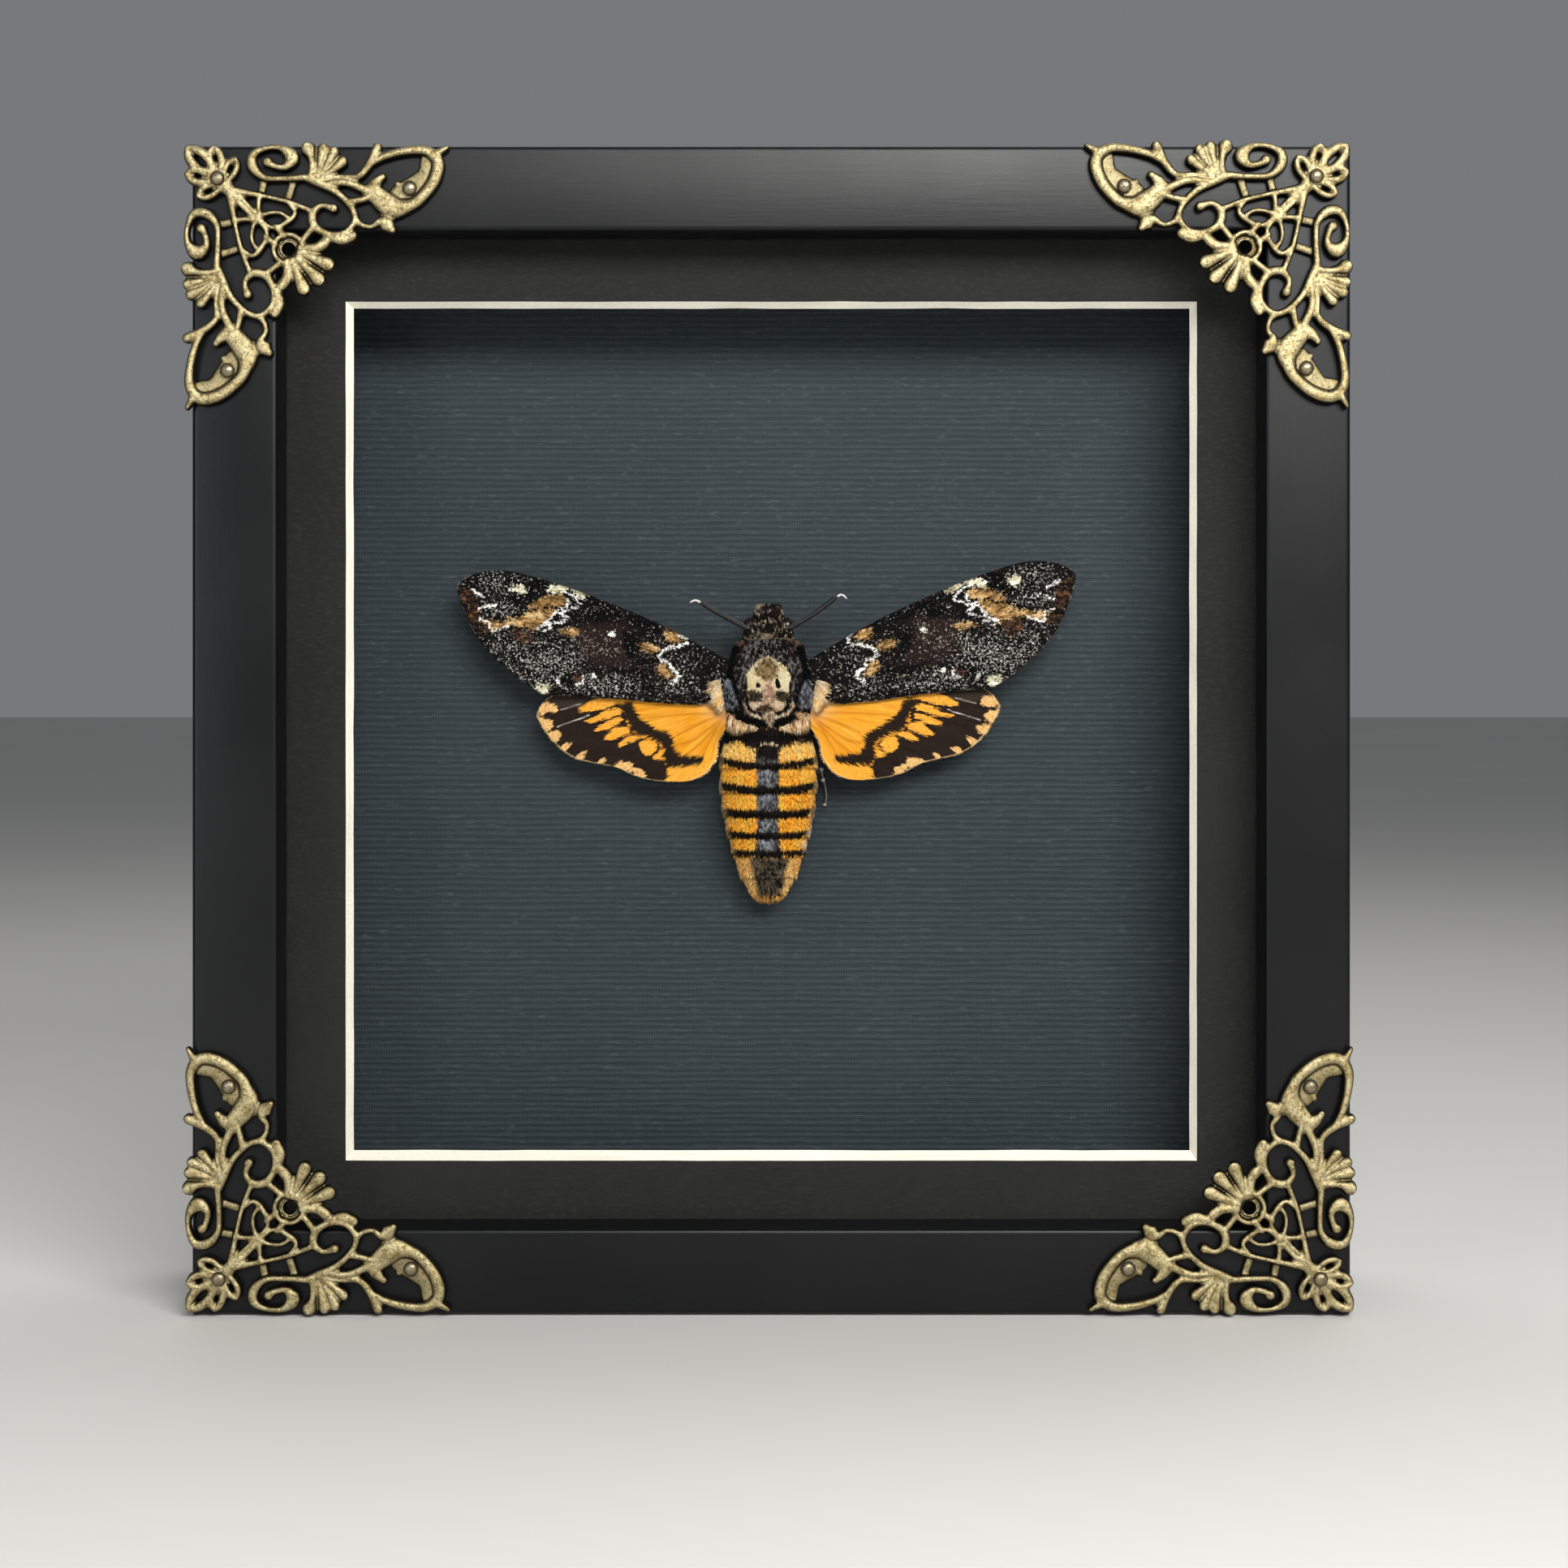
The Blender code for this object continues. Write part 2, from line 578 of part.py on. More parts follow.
# Sections of the body: (along, half width, lowest, highest)
THORAX = [(6.6, 5.1, 2.6, 13.2), (5.2, 6.4, 1.6, 14.5), (2.6, 7.5, 0.9, 15.3),
          (0.0, 8.0, 0.5, 15.5), (-2.8, 8.3, 0.4, 15.4), (-5.4, 8.1, 0.5, 14.9),
          (-7.8, 7.5, 0.8, 14.0), (-9.6, 6.6, 1.4, 12.8)]
HEAD = [(6.9, 4.8, 3.0, 12.8), (8.4, 4.5, 3.2, 12.9), (9.8, 3.7, 3.6, 12.3),
        (11.2, 3.1, 4.3, 11.3), (12.3, 2.6, 5.1, 10.2), (12.8, 1.8, 6.0, 9.2)]
ABDOMEN_START = -9.95
ABDOMEN_END = -41.6
ABDOMEN = [(0.0, 7.0, 1.2, 12.8), (0.09, 8.6, 0.6, 13.4), (0.2, 9.0, 0.4, 13.8),
           (0.35, 9.0, 0.4, 13.8), (0.5, 8.6, 0.5, 13.2), (0.64, 7.6, 0.9, 12.2),
           (0.77, 6.4, 1.6, 11.0), (0.88, 5.2, 2.4, 9.7), (0.96, 3.9, 3.3, 8.3),
           (1.0, 2.2, 4.2, 6.8)]


def section_at(sections, along):
    """Half width, lowest and highest of a body between its listed sections."""
    for (a, *near), (b, *far) in zip(sections, sections[1:]):
        if min(a, b) <= along <= max(a, b):
            share = (along - a) / (b - a)
            return [n + (f - n) * share for n, f in zip(near, far)]
    ends = sections[0] if abs(along - sections[0][0]) < abs(along - sections[-1][0]) \
        else sections[-1]
    return list(ends[1:])


def moth_point(across, above, along):
    """A place on the moth in metres, from the card's face and the thorax's middle."""
    return Vector((across * MM, -above * MM, along * MM))


def loft(name, rings):
    """A closed body through rings of points, with a flat cap at each end."""
    work = bmesh.new()
    rows = [[work.verts.new(point) for point in ring] for ring in rings]
    count = len(rings[0])
    for near, far in zip(rows, rows[1:]):
        for k in range(count):
            after = (k + 1) % count
            work.faces.new((near[k], near[after], far[after], far[k]))
    work.faces.new(rows[0])
    work.faces.new(rows[-1])
    return mesh_from(work, name, math.radians(60))


def ring(along, half_width, lowest, highest, swell=1.0):
    middle = (lowest + highest) / 2
    half_height = (highest - lowest) / 2
    points = []
    for k in range(BODY_SIDES):
        angle = 2 * math.pi * k / BODY_SIDES
        points.append(moth_point(swell * half_width * math.sin(angle),
                                 middle + swell * half_height * math.cos(angle), along))
    return points


def abdomen_rings():
    """Each segment widens backwards and overlaps the narrower start of the next."""
    rings = []
    for segment in range(SEGMENTS):
        for part, swell in ((0.0, 0.97), (0.6, 1.0), (0.97, 1.0)):
            share = (segment + part) / SEGMENTS
            along = ABDOMEN_START + (ABDOMEN_END - ABDOMEN_START) * share
            rings.append(ring(along, *section_at(ABDOMEN, share), swell))
    rings.append(ring(ABDOMEN_END, *section_at(ABDOMEN, 1.0)))
    return rings


def build_body(group, cutters, finishes, parent):
    dark = finishes["moth_fur_dark"]
    thorax = [ring(*section) for section in THORAX]
    add_object("moth_thorax", loft("moth_thorax", thorax), dark, group, parent=parent)
    add_object("moth_abdomen", loft("moth_abdomen", abdomen_rings()),
               finishes["moth_fur_yellow"], group, parent=parent)
    head = add_object("moth_head", loft("moth_head", [ring(*section) for section in HEAD]),
                      dark, group, parent=parent)
    for side, name in ((-1, "left"), (1, "right")):
        middle = moth_point(side * EYE_PLACE[0], *EYE_PLACE[1:])
        eye = bmesh.new()
        bmesh.ops.create_uvsphere(eye, u_segments=12, v_segments=8, radius=EYE_RADIUS * MM)
        eye_mesh = mesh_from(eye, "moth_eye", math.radians(60))
        add_object("moth_eye_" + name, eye_mesh, finishes["moth_eye_dark"], group, middle,
                   parent=parent)
        hollow = bmesh.new()
        bmesh.ops.create_uvsphere(hollow, u_segments=12, v_segments=8,
                                  radius=EYE_RADIUS * MM + GAP)
        socket = bpy.data.objects.new("eye_socket_" + name, mesh_from(hollow, "eye_socket"))
        socket.location = middle
        socket.parent = parent
        socket.hide_render = True
        socket.display_type = "WIRE"
        cutters.objects.link(socket)
        cut = head.modifiers.new("socket_" + name, "BOOLEAN")
        cut.object = socket
        cut.operation = "DIFFERENCE"


# The wings, drawn as (out from the root, up), in mm; their roots follow the thorax's side
FORE_WING = {
    "root_edge": (2.2, -2.4),
    "front": [(6.7, 6.9), (13.3, 10.1), (20.0, 12.9), (30.0, 16.6), (38.4, 18.9),
              (43.0, 19.1)],
    "margin": [(43.0, 19.1), (46.5, 18.1), (48.5, 16.5), (48.3, 14.4), (46.4, 9.6), (43.4, 4.7),
               (37.7, -0.4), (33.0, -3.6)],
    "rear": [(3.3, -5.1), (10.0, -5.1), (21.7, -4.1), (33.0, -3.6)],
    "veins": [(0.0, 0.0), (0.09, 0.35), (0.19, 0.4), (0.30, 0.0), (0.42, 0.45), (0.54, 0.45),
              (0.66, 0.4), (0.78, 0.0), (0.90, 0.0)],
    "level": FORE_WING_LEVEL,
    "stations": 10,
    "root": (8.5, -0.15),
}
HIND_WING = {
    "root_edge": (2.0, -2.0),
    "front": [(8.0, 4.4), (16.0, 5.2), (24.0, 5.4), (29.0, 4.6), (32.2, 2.9)],
    "margin": [(32.2, 2.9), (33.7, 0.9), (33.5, -1.2), (30.7, -5.2), (26.6, -8.1), (19.5, -9.6),
               (14.7, -11.6), (8.8, -12.3), (5.4, -12.0)],
    "rear": [(0.5, -5.0), (0.9, -8.0), (2.9, -10.8), (5.4, -12.0)],
    "veins": [(0.12, 0.0), (0.26, 0.35), (0.40, 0.4), (0.54, 0.4), (0.68, 0.3), (0.84, 0.0)],
    "level": HIND_WING_LEVEL,
    "stations": 7,
    "root": (8.7, -7.5),
}


def root_point(wing, back):
    """A place on the wing's root edge, just clear of the thorax's side."""
    out, up = wing["root"]
    start, end = wing["root_edge"]
    along = start + (end - start) * back
    half_width, lowest, highest = section_at(THORAX, up + along)
    middle = (lowest + highest) / 2
    rise = (wing["level"][0] - WING_THICKNESS - middle) / (highest - middle)
    side = half_width * math.sqrt(1 - rise ** 2) + GAP / MM
    return Vector((side - out, along))


def wing_plan(wing):
    """A function that gives the place of a point from its shares along and across."""
    step = 1.0
    front = smooth_path([root_point(wing, 0)] + wing["front"], step)
    rear = smooth_path([root_point(wing, 1)] + wing["rear"], step)
    margin = smooth_path(wing["margin"], step)

    def place(out, back):
        across = path_at(front, out).lerp(path_at(rear, out), back)
        along = root_point(wing, back).lerp(path_at(margin, back), out)
        near = front[0].lerp(rear[0], back)
        far = front[-1].lerp(rear[-1], back)
        return across + along - near.lerp(far, out)

    return place


def wing_lines(wing):
    """The shares across of the grid's lines, each with the start of its vein or None."""
    lines = []
    for share, start in wing["veins"]:
        spread = VEIN_HALF_WIDTH / 20
        if share - spread > 0:
            lines.append((share - spread, None))
        lines.append((share, start))
        lines.append((share + spread, None))
    if lines[0][0] > 0:
        lines.insert(0, (0.0, None))
    lines.append((1.0, None))
    return lines


def wing_mesh(name, wing, side):
    """A thin wing with its veins raised; both faces are split into the same triangles."""
    place = wing_plan(wing)
    lines = wing_lines(wing)
    stations = wing["stations"]
    root_level, tip_level = wing["level"]
    span = max(x for x, _ in wing["margin"])
    tops = []
    bottoms = []
    for back, vein_start in lines:
        top_row = []
        bottom_row = []
        for k in range(stations + 1):
            out = k / stations
            x, z = place(out, back)
            share = min(max(x / span, 0), 1)
            level = root_level + (tip_level - root_level) * share
            level += WING_ARCH * math.sin(math.pi * share)
            raised = 0
            if vein_start is not None and out >= vein_start:
                raised = VEIN_HEIGHT * (1 - 0.5 * out)
            top_row.append(moth_point(side * x, level + raised, z))
            bottom_row.append(moth_point(side * x, level - WING_THICKNESS, z))
        tops.append(top_row)
        bottoms.append(bottom_row)

    work = bmesh.new()
    top = [[work.verts.new(p) for p in row] for row in tops]
    bottom = [[work.verts.new(p) for p in row] for row in bottoms]
    for sheet in (top, bottom):
        for near, far in zip(sheet, sheet[1:]):
            for k in range(stations):
                work.faces.new((near[k], near[k + 1], far[k + 1]))
                work.faces.new((near[k], far[k + 1], far[k]))
    rim = [(i, 0) for i in range(len(lines))]
    rim += [(len(lines) - 1, k) for k in range(1, stations + 1)]
    rim += [(i, stations) for i in range(len(lines) - 2, -1, -1)]
    rim += [(0, k) for k in range(stations - 1, 0, -1)]
    for (i, k), (j, m) in zip(rim, rim[1:] + rim[:1]):
        work.faces.new((top[i][k], top[j][m], bottom[j][m]))
        work.faces.new((top[i][k], bottom[j][m], bottom[i][k]))
    return mesh_from(work, name, math.radians(40))


def build_wings(group, finishes, parent):
    kinds = (("fore", FORE_WING, finishes["moth_fore_wing"]),
             ("hind", HIND_WING, finishes["moth_hind_wing"]))
    for kind, wing, finish in kinds:
        out, up = wing["root"]
        for side, name in ((-1, "left"), (1, "right")):
            node = f"moth_{kind}_wing_{name}"
            turn = -RIGHT_WING_TURN if side > 0 else 0
            add_object(node, wing_mesh(node, wing, side), finish, group,
                       moth_point(side * out, 0, up), turn, parent)


# Legs and feelers, right side first where both are alike; (across, above, along)
LEGS = {
    "fore": [(8.5, 5.6, 3.2), (11.5, 5.6, 0.6), (15.5, 4.2, 3.6), (17.5, 3.0, 5.2)],
    "mid": [(9.0, 5.0, -3.6), (13.5, 5.0, -5.4), (19.5, 3.8, -2.6), (23.5, 2.6, -0.4)],
    "hind_left": [(8.9, 4.6, -8.0), (13.5, 5.0, -11.0), (19.0, 4.0, -13.5), (23.0, 2.6, -11.8)],
    "hind_right": [(8.9, 4.6, -8.0), (12.6, 5.0, -11.4), (10.3, 4.6, -17.0),
                   (10.9, 3.8, -21.8), (9.9, 3.2, -24.8)],
}
FEELERS = {
    "left": [(4.4, 10.4, 8.6), (8.4, 10.3, 10.7), (12.3, 10.1, 13.0), (13.4, 10.1, 13.5),
             (14.4, 10.0, 13.1)],
    "right": [(4.7, 10.4, 8.8), (8.6, 10.3, 11.2), (12.4, 10.1, 14.0), (13.5, 10.1, 14.5),
              (14.4, 10.0, 13.8)],
}


def build_limbs(group, finishes, parent):
    finish = finishes["moth_leg_dark"]
    rods = []
    for side, name in ((-1, "left"), (1, "right")):
        for pair in ("fore", "mid", "hind"):
            route = LEGS.get(pair) or LEGS[f"{pair}_{name}"]
            taper = [1.25, 1.1] + [0.8] * (len(route) - 2)
            rods.append((f"moth_{pair}_leg_{name}", side, route, LEG_RADIUS, taper))
        rods.append((f"moth_feeler_{name}", side, FEELERS[name], FEELER_RADIUS,
                     [0.7, 1.0, 1.1, 0.8, 0.35]))
    for node, side, route, radius, taper in rods:
        places = [(side * across, -above, along) for across, above, along in route]
        rod = tube(node, places, radius, group, taper)
        rod.parent = parent
        rod.data.materials.append(finish)
        rod.data.shade_smooth()
        rod.data.set_sharp_from_angle(angle=math.radians(50))


def build():
    clear_scene()
    group = new_collection("framed_deaths_head_hawkmoth")
    cutters = new_collection("cutters")
    finishes = {name: make_material(name) for name in COLOURS}
    build_rails(group, finishes["frame_black"])
    build_sheets(group, cutters, finishes)
    build_corners(group, finishes)
    build_fittings(group, finishes)
    moth = bpy.data.objects.new("moth_place", None)
    moth.location = (MOTH_X, CARD_Y, MOTH_Z)
    group.objects.link(moth)
    build_body(group, cutters, finishes, moth)
    build_wings(group, finishes, moth)
    build_limbs(group, finishes, moth)


build()
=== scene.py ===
# %% [markdown]
# # A death's-head hawkmoth in its shadow box
#
# A spread moth rests on a slate-blue linen card behind glass, in a black
# box frame with four cast filigree corners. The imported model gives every
# part its place, and this lesson dresses each part as the real one looks.
# The places are in metres, with +Z up, and the box faces -Y.

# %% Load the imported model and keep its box
import math

import bmesh
import bpy
import numpy as np
from mathutils import Matrix, Vector


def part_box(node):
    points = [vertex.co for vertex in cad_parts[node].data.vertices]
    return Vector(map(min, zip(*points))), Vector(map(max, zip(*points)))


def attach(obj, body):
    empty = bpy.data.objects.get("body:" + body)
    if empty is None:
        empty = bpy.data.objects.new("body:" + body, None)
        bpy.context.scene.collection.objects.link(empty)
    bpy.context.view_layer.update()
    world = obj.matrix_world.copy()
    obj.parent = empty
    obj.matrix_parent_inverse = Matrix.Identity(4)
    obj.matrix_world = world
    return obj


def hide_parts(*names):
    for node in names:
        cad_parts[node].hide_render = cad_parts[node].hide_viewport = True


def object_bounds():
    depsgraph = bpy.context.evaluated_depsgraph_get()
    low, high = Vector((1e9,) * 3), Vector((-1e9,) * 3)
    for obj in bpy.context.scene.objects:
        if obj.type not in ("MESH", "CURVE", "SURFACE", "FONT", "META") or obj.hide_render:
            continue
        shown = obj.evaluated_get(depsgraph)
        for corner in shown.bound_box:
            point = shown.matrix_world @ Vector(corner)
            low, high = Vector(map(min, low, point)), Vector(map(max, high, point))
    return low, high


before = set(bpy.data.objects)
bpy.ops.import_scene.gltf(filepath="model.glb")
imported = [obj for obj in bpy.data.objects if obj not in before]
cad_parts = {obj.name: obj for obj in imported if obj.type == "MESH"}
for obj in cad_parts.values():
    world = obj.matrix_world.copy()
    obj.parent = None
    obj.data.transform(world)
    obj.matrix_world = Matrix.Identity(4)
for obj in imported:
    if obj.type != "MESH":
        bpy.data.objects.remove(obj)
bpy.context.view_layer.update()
MM = .001
SIDES = ((-1, "left"), (1, "right"))

# %% [markdown]
# ## Small helpers for finishes
#
# Each finish is a small net of nodes that ends in one Principled shader.
# It could be wired by hand in the editor. A small class keeps the wiring
# readable here: `add` puts in a node, and the others are the nodes that
# nearly every finish needs. All nets work in millimetres on the object,
# so a grain has its real size.

# %% A class that wires a finish
def light_value(red, green, blue):
    """A colour as a screen shows it (0 to 255) in the shader's own units."""
    shares = [part / 255 for part in (red, green, blue)]
    return tuple(part / 12.92 if part < .04045 else ((part + .055) / 1.055) ** 2.4 for part in shares)


class Finish:
    """A material under construction."""

    def __init__(self, name, **sockets):
        """Start it and set the sockets that are the same all over."""
        self.material = bpy.data.materials.new(name)
        self.material.use_nodes = True
        self.tree = self.material.node_tree
        self.shader = self.tree.nodes["Principled BSDF"]
        for socket, value in sockets.items():
            self.shader.inputs[socket.replace("_", " ")].default_value = value

    def add(self, kind, inputs=None, **settings):
        """Put in a node; an input is a number or another node's output."""
        made = self.tree.nodes.new("ShaderNode" + kind)
        for key, value in settings.items():
            setattr(made, key, value)
        for key, value in (inputs or {}).items():
            if isinstance(value, bpy.types.NodeSocket):
                self.tree.links.new(value, made.inputs[key])
            else:
                made.inputs[key].default_value = value
        return made

    def plus(self, first, second):
        return self.add("Math", {0: first, 1: second}, operation="ADD").outputs[0]

    def minus(self, first, second):
        return self.add("Math", {0: first, 1: second}, operation="SUBTRACT").outputs[0]

    def times(self, first, second):
        return self.add("Math", {0: first, 1: second}, operation="MULTIPLY").outputs[0]

    def in_mm(self, stretch=(1, 1, 1)):
        """Places on the object in mm, stretched along an axis where asked."""
        place = self.add("TexCoord").outputs["Object"]
        scale = [value / MM for value in stretch]
        return self.add("Mapping", {"Vector": place, "Scale": scale}).outputs[0]

    def noise(self, place, scale, detail=2.0, roughness=.5, distortion=0.0):
        """Cloudy noise from 0 to 1; scale is the number of clouds in a mm."""
        inputs = {"Vector": place, "Scale": scale, "Detail": detail, "Roughness": roughness,
                  "Distortion": distortion}
        return self.add("TexNoise", inputs).outputs["Fac"]

    def band(self, value, low, high, bottom=0.0, top=1.0):
        """Bring low..high to bottom..top and stop at both ends."""
        inputs = {"Value": value, "From Min": low, "From Max": high, "To Min": bottom, "To Max": top}
        return self.add("MapRange", inputs, clamp=True).outputs[0]

    def mix(self, share, first, second, kind="MIX"):
        """Mix two colours, screen values or outputs; MULTIPLY takes a plain factor."""
        inputs = {0: share}
        for place, tone in ((6, first), (7, second)):
            if not isinstance(tone, bpy.types.NodeSocket):
                tone = (*(tone if kind == "MULTIPLY" else light_value(*tone)), 1)
            inputs[place] = tone
        return self.add("Mix", inputs, data_type="RGBA", blend_type=kind).outputs[2]

    def give(self, socket, value):
        """Lead an output to one of the shader's sockets."""
        self.tree.links.new(value, self.shader.inputs[socket])

    def relief(self, height, depth, strength=1.0):
        """Let a height from 0 to 1 stand out by depth in mm."""
        inputs = {"Height": height, "Distance": depth * MM, "Strength": strength}
        self.give("Normal", self.add("Bump", inputs).outputs[0])


def dress(node, finish):
    """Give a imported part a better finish."""
    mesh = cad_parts[node].data
    mesh.materials.clear()
    mesh.materials.append(finish.material)


# %% [markdown]
# ## Small helpers for pieces
#
# A new piece is a mesh from a list of points and a list of faces. It gets
# its finish, rides on the model's one body, and hides the imported parts it
# stands for. Points are given in mm, because that is how a maker measures.

# %% Functions that make a piece
def new_piece(name, points, faces, finishes, replaced=(), smooth=True):
    """A mesh object in the model from points in mm."""
    mesh = bpy.data.meshes.new(name)
    points = np.asarray(points, float) * MM
    mesh.from_pydata(points.tolist(), [], [list(map(int, face)) for face in faces])
    return finish_piece(name, mesh, finishes, replaced, smooth)


def finish_piece(name, mesh, finishes, replaced=(), smooth=True):
    """Put a ready mesh in the scene with its finish and body, and hide the parts it replaces."""
    mesh.name = name
    mesh.materials.clear()
    for one in finishes:
        mesh.materials.append(one.material)
    mesh.validate()
    if smooth:
        mesh.shade_smooth()
    piece = bpy.data.objects.new(name, mesh)
    bpy.context.scene.collection.objects.link(piece)
    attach(piece, "root")
    if replaced:
        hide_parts(*replaced)
    return piece


def corners_of(node):
    """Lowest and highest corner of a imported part, in mm."""
    low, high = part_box(node)
    return np.array(low) / MM, np.array(high) / MM


def grid_faces(rows, columns, closed=False, start=0):
    """Four-sided faces over a grid of points that runs row by row."""
    across = columns if closed else columns - 1
    row = np.arange(rows - 1)[:, None] * columns
    here = np.arange(across)[None, :]
    after = (here + 1) % columns
    first = row + here
    second = row + after
    faces = np.stack([first, second, second + columns, first + columns], axis=-1)
    return (faces.reshape(-1, 4) + start).tolist()


def closed_faces(rows, columns, start=0):
    """The faces of a closed lump made of rings, with a face at each end."""
    last = start + (rows - 1) * columns
    ends = [list(range(start, start + columns))[::-1], list(range(last, last + columns))]
    return grid_faces(rows, columns, True, start) + ends


def unit(vectors):
    """Vectors brought to length one."""
    return vectors / np.maximum(np.linalg.norm(vectors, axis=-1, keepdims=True), 1e-9)


def run_along(path):
    """The distance from the start to each point of a path."""
    steps = np.linalg.norm(np.diff(path, axis=0), axis=1)
    return np.concatenate([[0], np.cumsum(steps)])


def curve_through(points, step=.5, closed=False):
    """A smooth curve through points, as an array."""
    path = np.asarray(points, float)
    if closed:
        path = np.vstack([path[-1], path, path[0], path[1]])
    else:
        path = np.vstack([2 * path[0] - path[1], path, 2 * path[-1] - path[-2]])
    curve = []
    for before, start, end, after in zip(path, path[1:], path[2:], path[3:]):
        count = max(2, int(np.linalg.norm(end - start) / step))
        t = (np.arange(count) / count)[:, None]
        bend = 2 * before - 5 * start + 4 * end - after
        twist = 3 * start - before - 3 * end + after
        curve.append((2 * start + (end - before) * t + bend * t ** 2 + twist * t ** 3) / 2)
    if not closed:
        curve.append(path[-2:-1])
    return np.vstack(curve)

# %% [markdown]
# ## The black frame
#
# The frame is four lengths of wooden moulding with an L-shaped section,
# cut at 45 degrees and painted in satin black. One closed ring would be
# quicker, but then no mitre could show, so each rail is its own bar: the
# section is drawn once, its edges are rounded, and its two ends slide
# along the mitre. A hair's breadth stays open at each corner.

# %% The rail's section, from its outer edge inwards and from front to back
RAIL_FACE = 15.0
RAIL_WALL = 8.6
LIP_DEPTH = 9.3
MITRE_GAP = .04
RAIL_SIDES = {"bottom": (0, 1), "left": (1, 0), "top": (2, 1), "right": (3, 0)}


def rounded_outline(corners, steps=5):
    """Round each corner (x, y, radius) of a closed outline."""
    outline = []
    for i, (x, y, radius) in enumerate(corners):
        here = Vector((x, y))
        before = (Vector(corners[i - 1][:2]) - here).normalized()
        after = (Vector(corners[(i + 1) % len(corners)][:2]) - here).normalized()
        for k in range(steps + 1):
            t = k / steps
            start = here + before * radius * (1 - t) ** 2
            outline.append(start + after * radius * t ** 2)
    return outline


RAIL_SECTION = rounded_outline([(0, 0, 1.0), (RAIL_FACE, 0, .9), (RAIL_FACE, LIP_DEPTH, .3),
                                (RAIL_WALL, LIP_DEPTH, .1), (RAIL_WALL, 40.0, .3), (0, 40.0, .5)])
print("points round the rail's section:", len(RAIL_SECTION))

# %% [markdown]
# ### Satin black paint
#
# The paint is nearly black with a cool cast. Close up it is not flat: the
# grain of the wood ripples it a little along each rail, and fine pale
# specks of dust and tiny dull patches catch the light. Noise in mm makes
# both, one stretched along the rail and one fine and even.

# %% The paint, once for each direction of the grain
def frame_paint(name, along):
    finish = Finish(name, Specular_IOR_Level=.24)
    place = finish.in_mm()
    stretch = [.05 if axis == along else 1.0 for axis in range(3)]
    grain = finish.noise(finish.in_mm(stretch), 1.6, 4, .6)
    fine = finish.noise(place, 5, 3, .7)
    cloud = finish.noise(place, .035, 2)
    specks = finish.add("TexVoronoi", {"Vector": place, "Scale": 1.5, "Randomness": 1.0})
    speck = finish.band(specks.outputs["Distance"], .035, .075, 1, 0)
    few = finish.band(finish.noise(place, .6, 1), .56, .66)
    speck = finish.times(speck, few)
    black = finish.mix(finish.band(cloud, .35, .65), (5, 6, 7), (9, 10, 11))
    black = finish.mix(finish.band(fine, .45, .75, 0, .35), black, (21, 23, 25))
    finish.give("Base Color", finish.mix(finish.times(speck, .6), black, (104, 107, 110)))
    finish.give("Roughness", finish.band(cloud, .3, .7, .30, .36))
    height = finish.plus(finish.times(grain, .55), finish.times(fine, .45))
    finish.relief(height, .035, .8)
    return finish


PAINTS = [frame_paint("frame_paint_level", 0), frame_paint("frame_paint_upright", 2)]

# %% The four rails
FRAME_LOW, FRAME_HIGH = corners_of("frame_rail_left")
FRAME_LOW = np.minimum(FRAME_LOW, corners_of("frame_rail_bottom")[0])
FRAME_HIGH = np.maximum(corners_of("frame_rail_right")[1], corners_of("frame_rail_top")[1])
FRONT = FRAME_LOW[1]


def rail(side):
    """A bar between two mitres, its ends cut along the section."""
    turn, level = RAIL_SIDES[side]
    width, height = FRAME_HIGH[0] - FRAME_LOW[0], FRAME_HIGH[2] - FRAME_LOW[2]
    length, span = (width, height) if level else (height, width)
    middle = (FRAME_LOW + FRAME_HIGH) / 2
    stations = np.linspace(-1, 1, 25)
    points = []
    for share in stations:
        for inward, depth in RAIL_SECTION:
            half = length / 2 - inward - MITRE_GAP
            points.append((half * share, depth, inward - span / 2))
    spin = Matrix.Rotation(turn * math.pi / 2, 3, "Y")
    placed = [spin @ Vector(p) + Vector((middle[0], FRONT, middle[2])) for p in points]
    faces = closed_faces(len(stations), len(RAIL_SECTION))
    piece = new_piece("rail_" + side, placed, faces, [PAINTS[1 - level]],
                      ["frame_rail_" + side])
    piece.data.set_sharp_from_angle(angle=math.radians(40))
    return piece


for side in RAIL_SIDES:
    rail(side)
print("frame, mm:", np.round(FRAME_HIGH - FRAME_LOW, 1))

# %% [markdown]
# ## The glass
#
# A clean pane hardly shows. Real refraction would cost much time here and
# darken the moth behind it, so the pane is mostly see-through, with a thin
# dark film that lets only its reflections add to what lies behind it.

# %% Clear glass
GLASS = Finish("clear_glass", Base_Color=(.01, .012, .012, 1), IOR=1.45, Specular_IOR_Level=.5)
smear = GLASS.noise(GLASS.in_mm((.3, 1, 1)), .05, 3)
GLASS.give("Alpha", GLASS.band(smear, .3, .7, .035, .055))
GLASS.give("Roughness", GLASS.band(smear, .3, .7, .03, .06))
dress("glass_pane", GLASS)

# %% [markdown]
# ## The dark mat with its cream bevel
#
# The mat is a sheet of card with a window. A slanted blade cuts the window,
# so a thin cream edge of the card's core faces the viewer. The real cut
# isn't even: the bottom edge is wider than the others. The mat is drawn as
# rings of four corners, outer edge, window, foot of the slant, and back,
# and the slanted ring gets the cream finish.

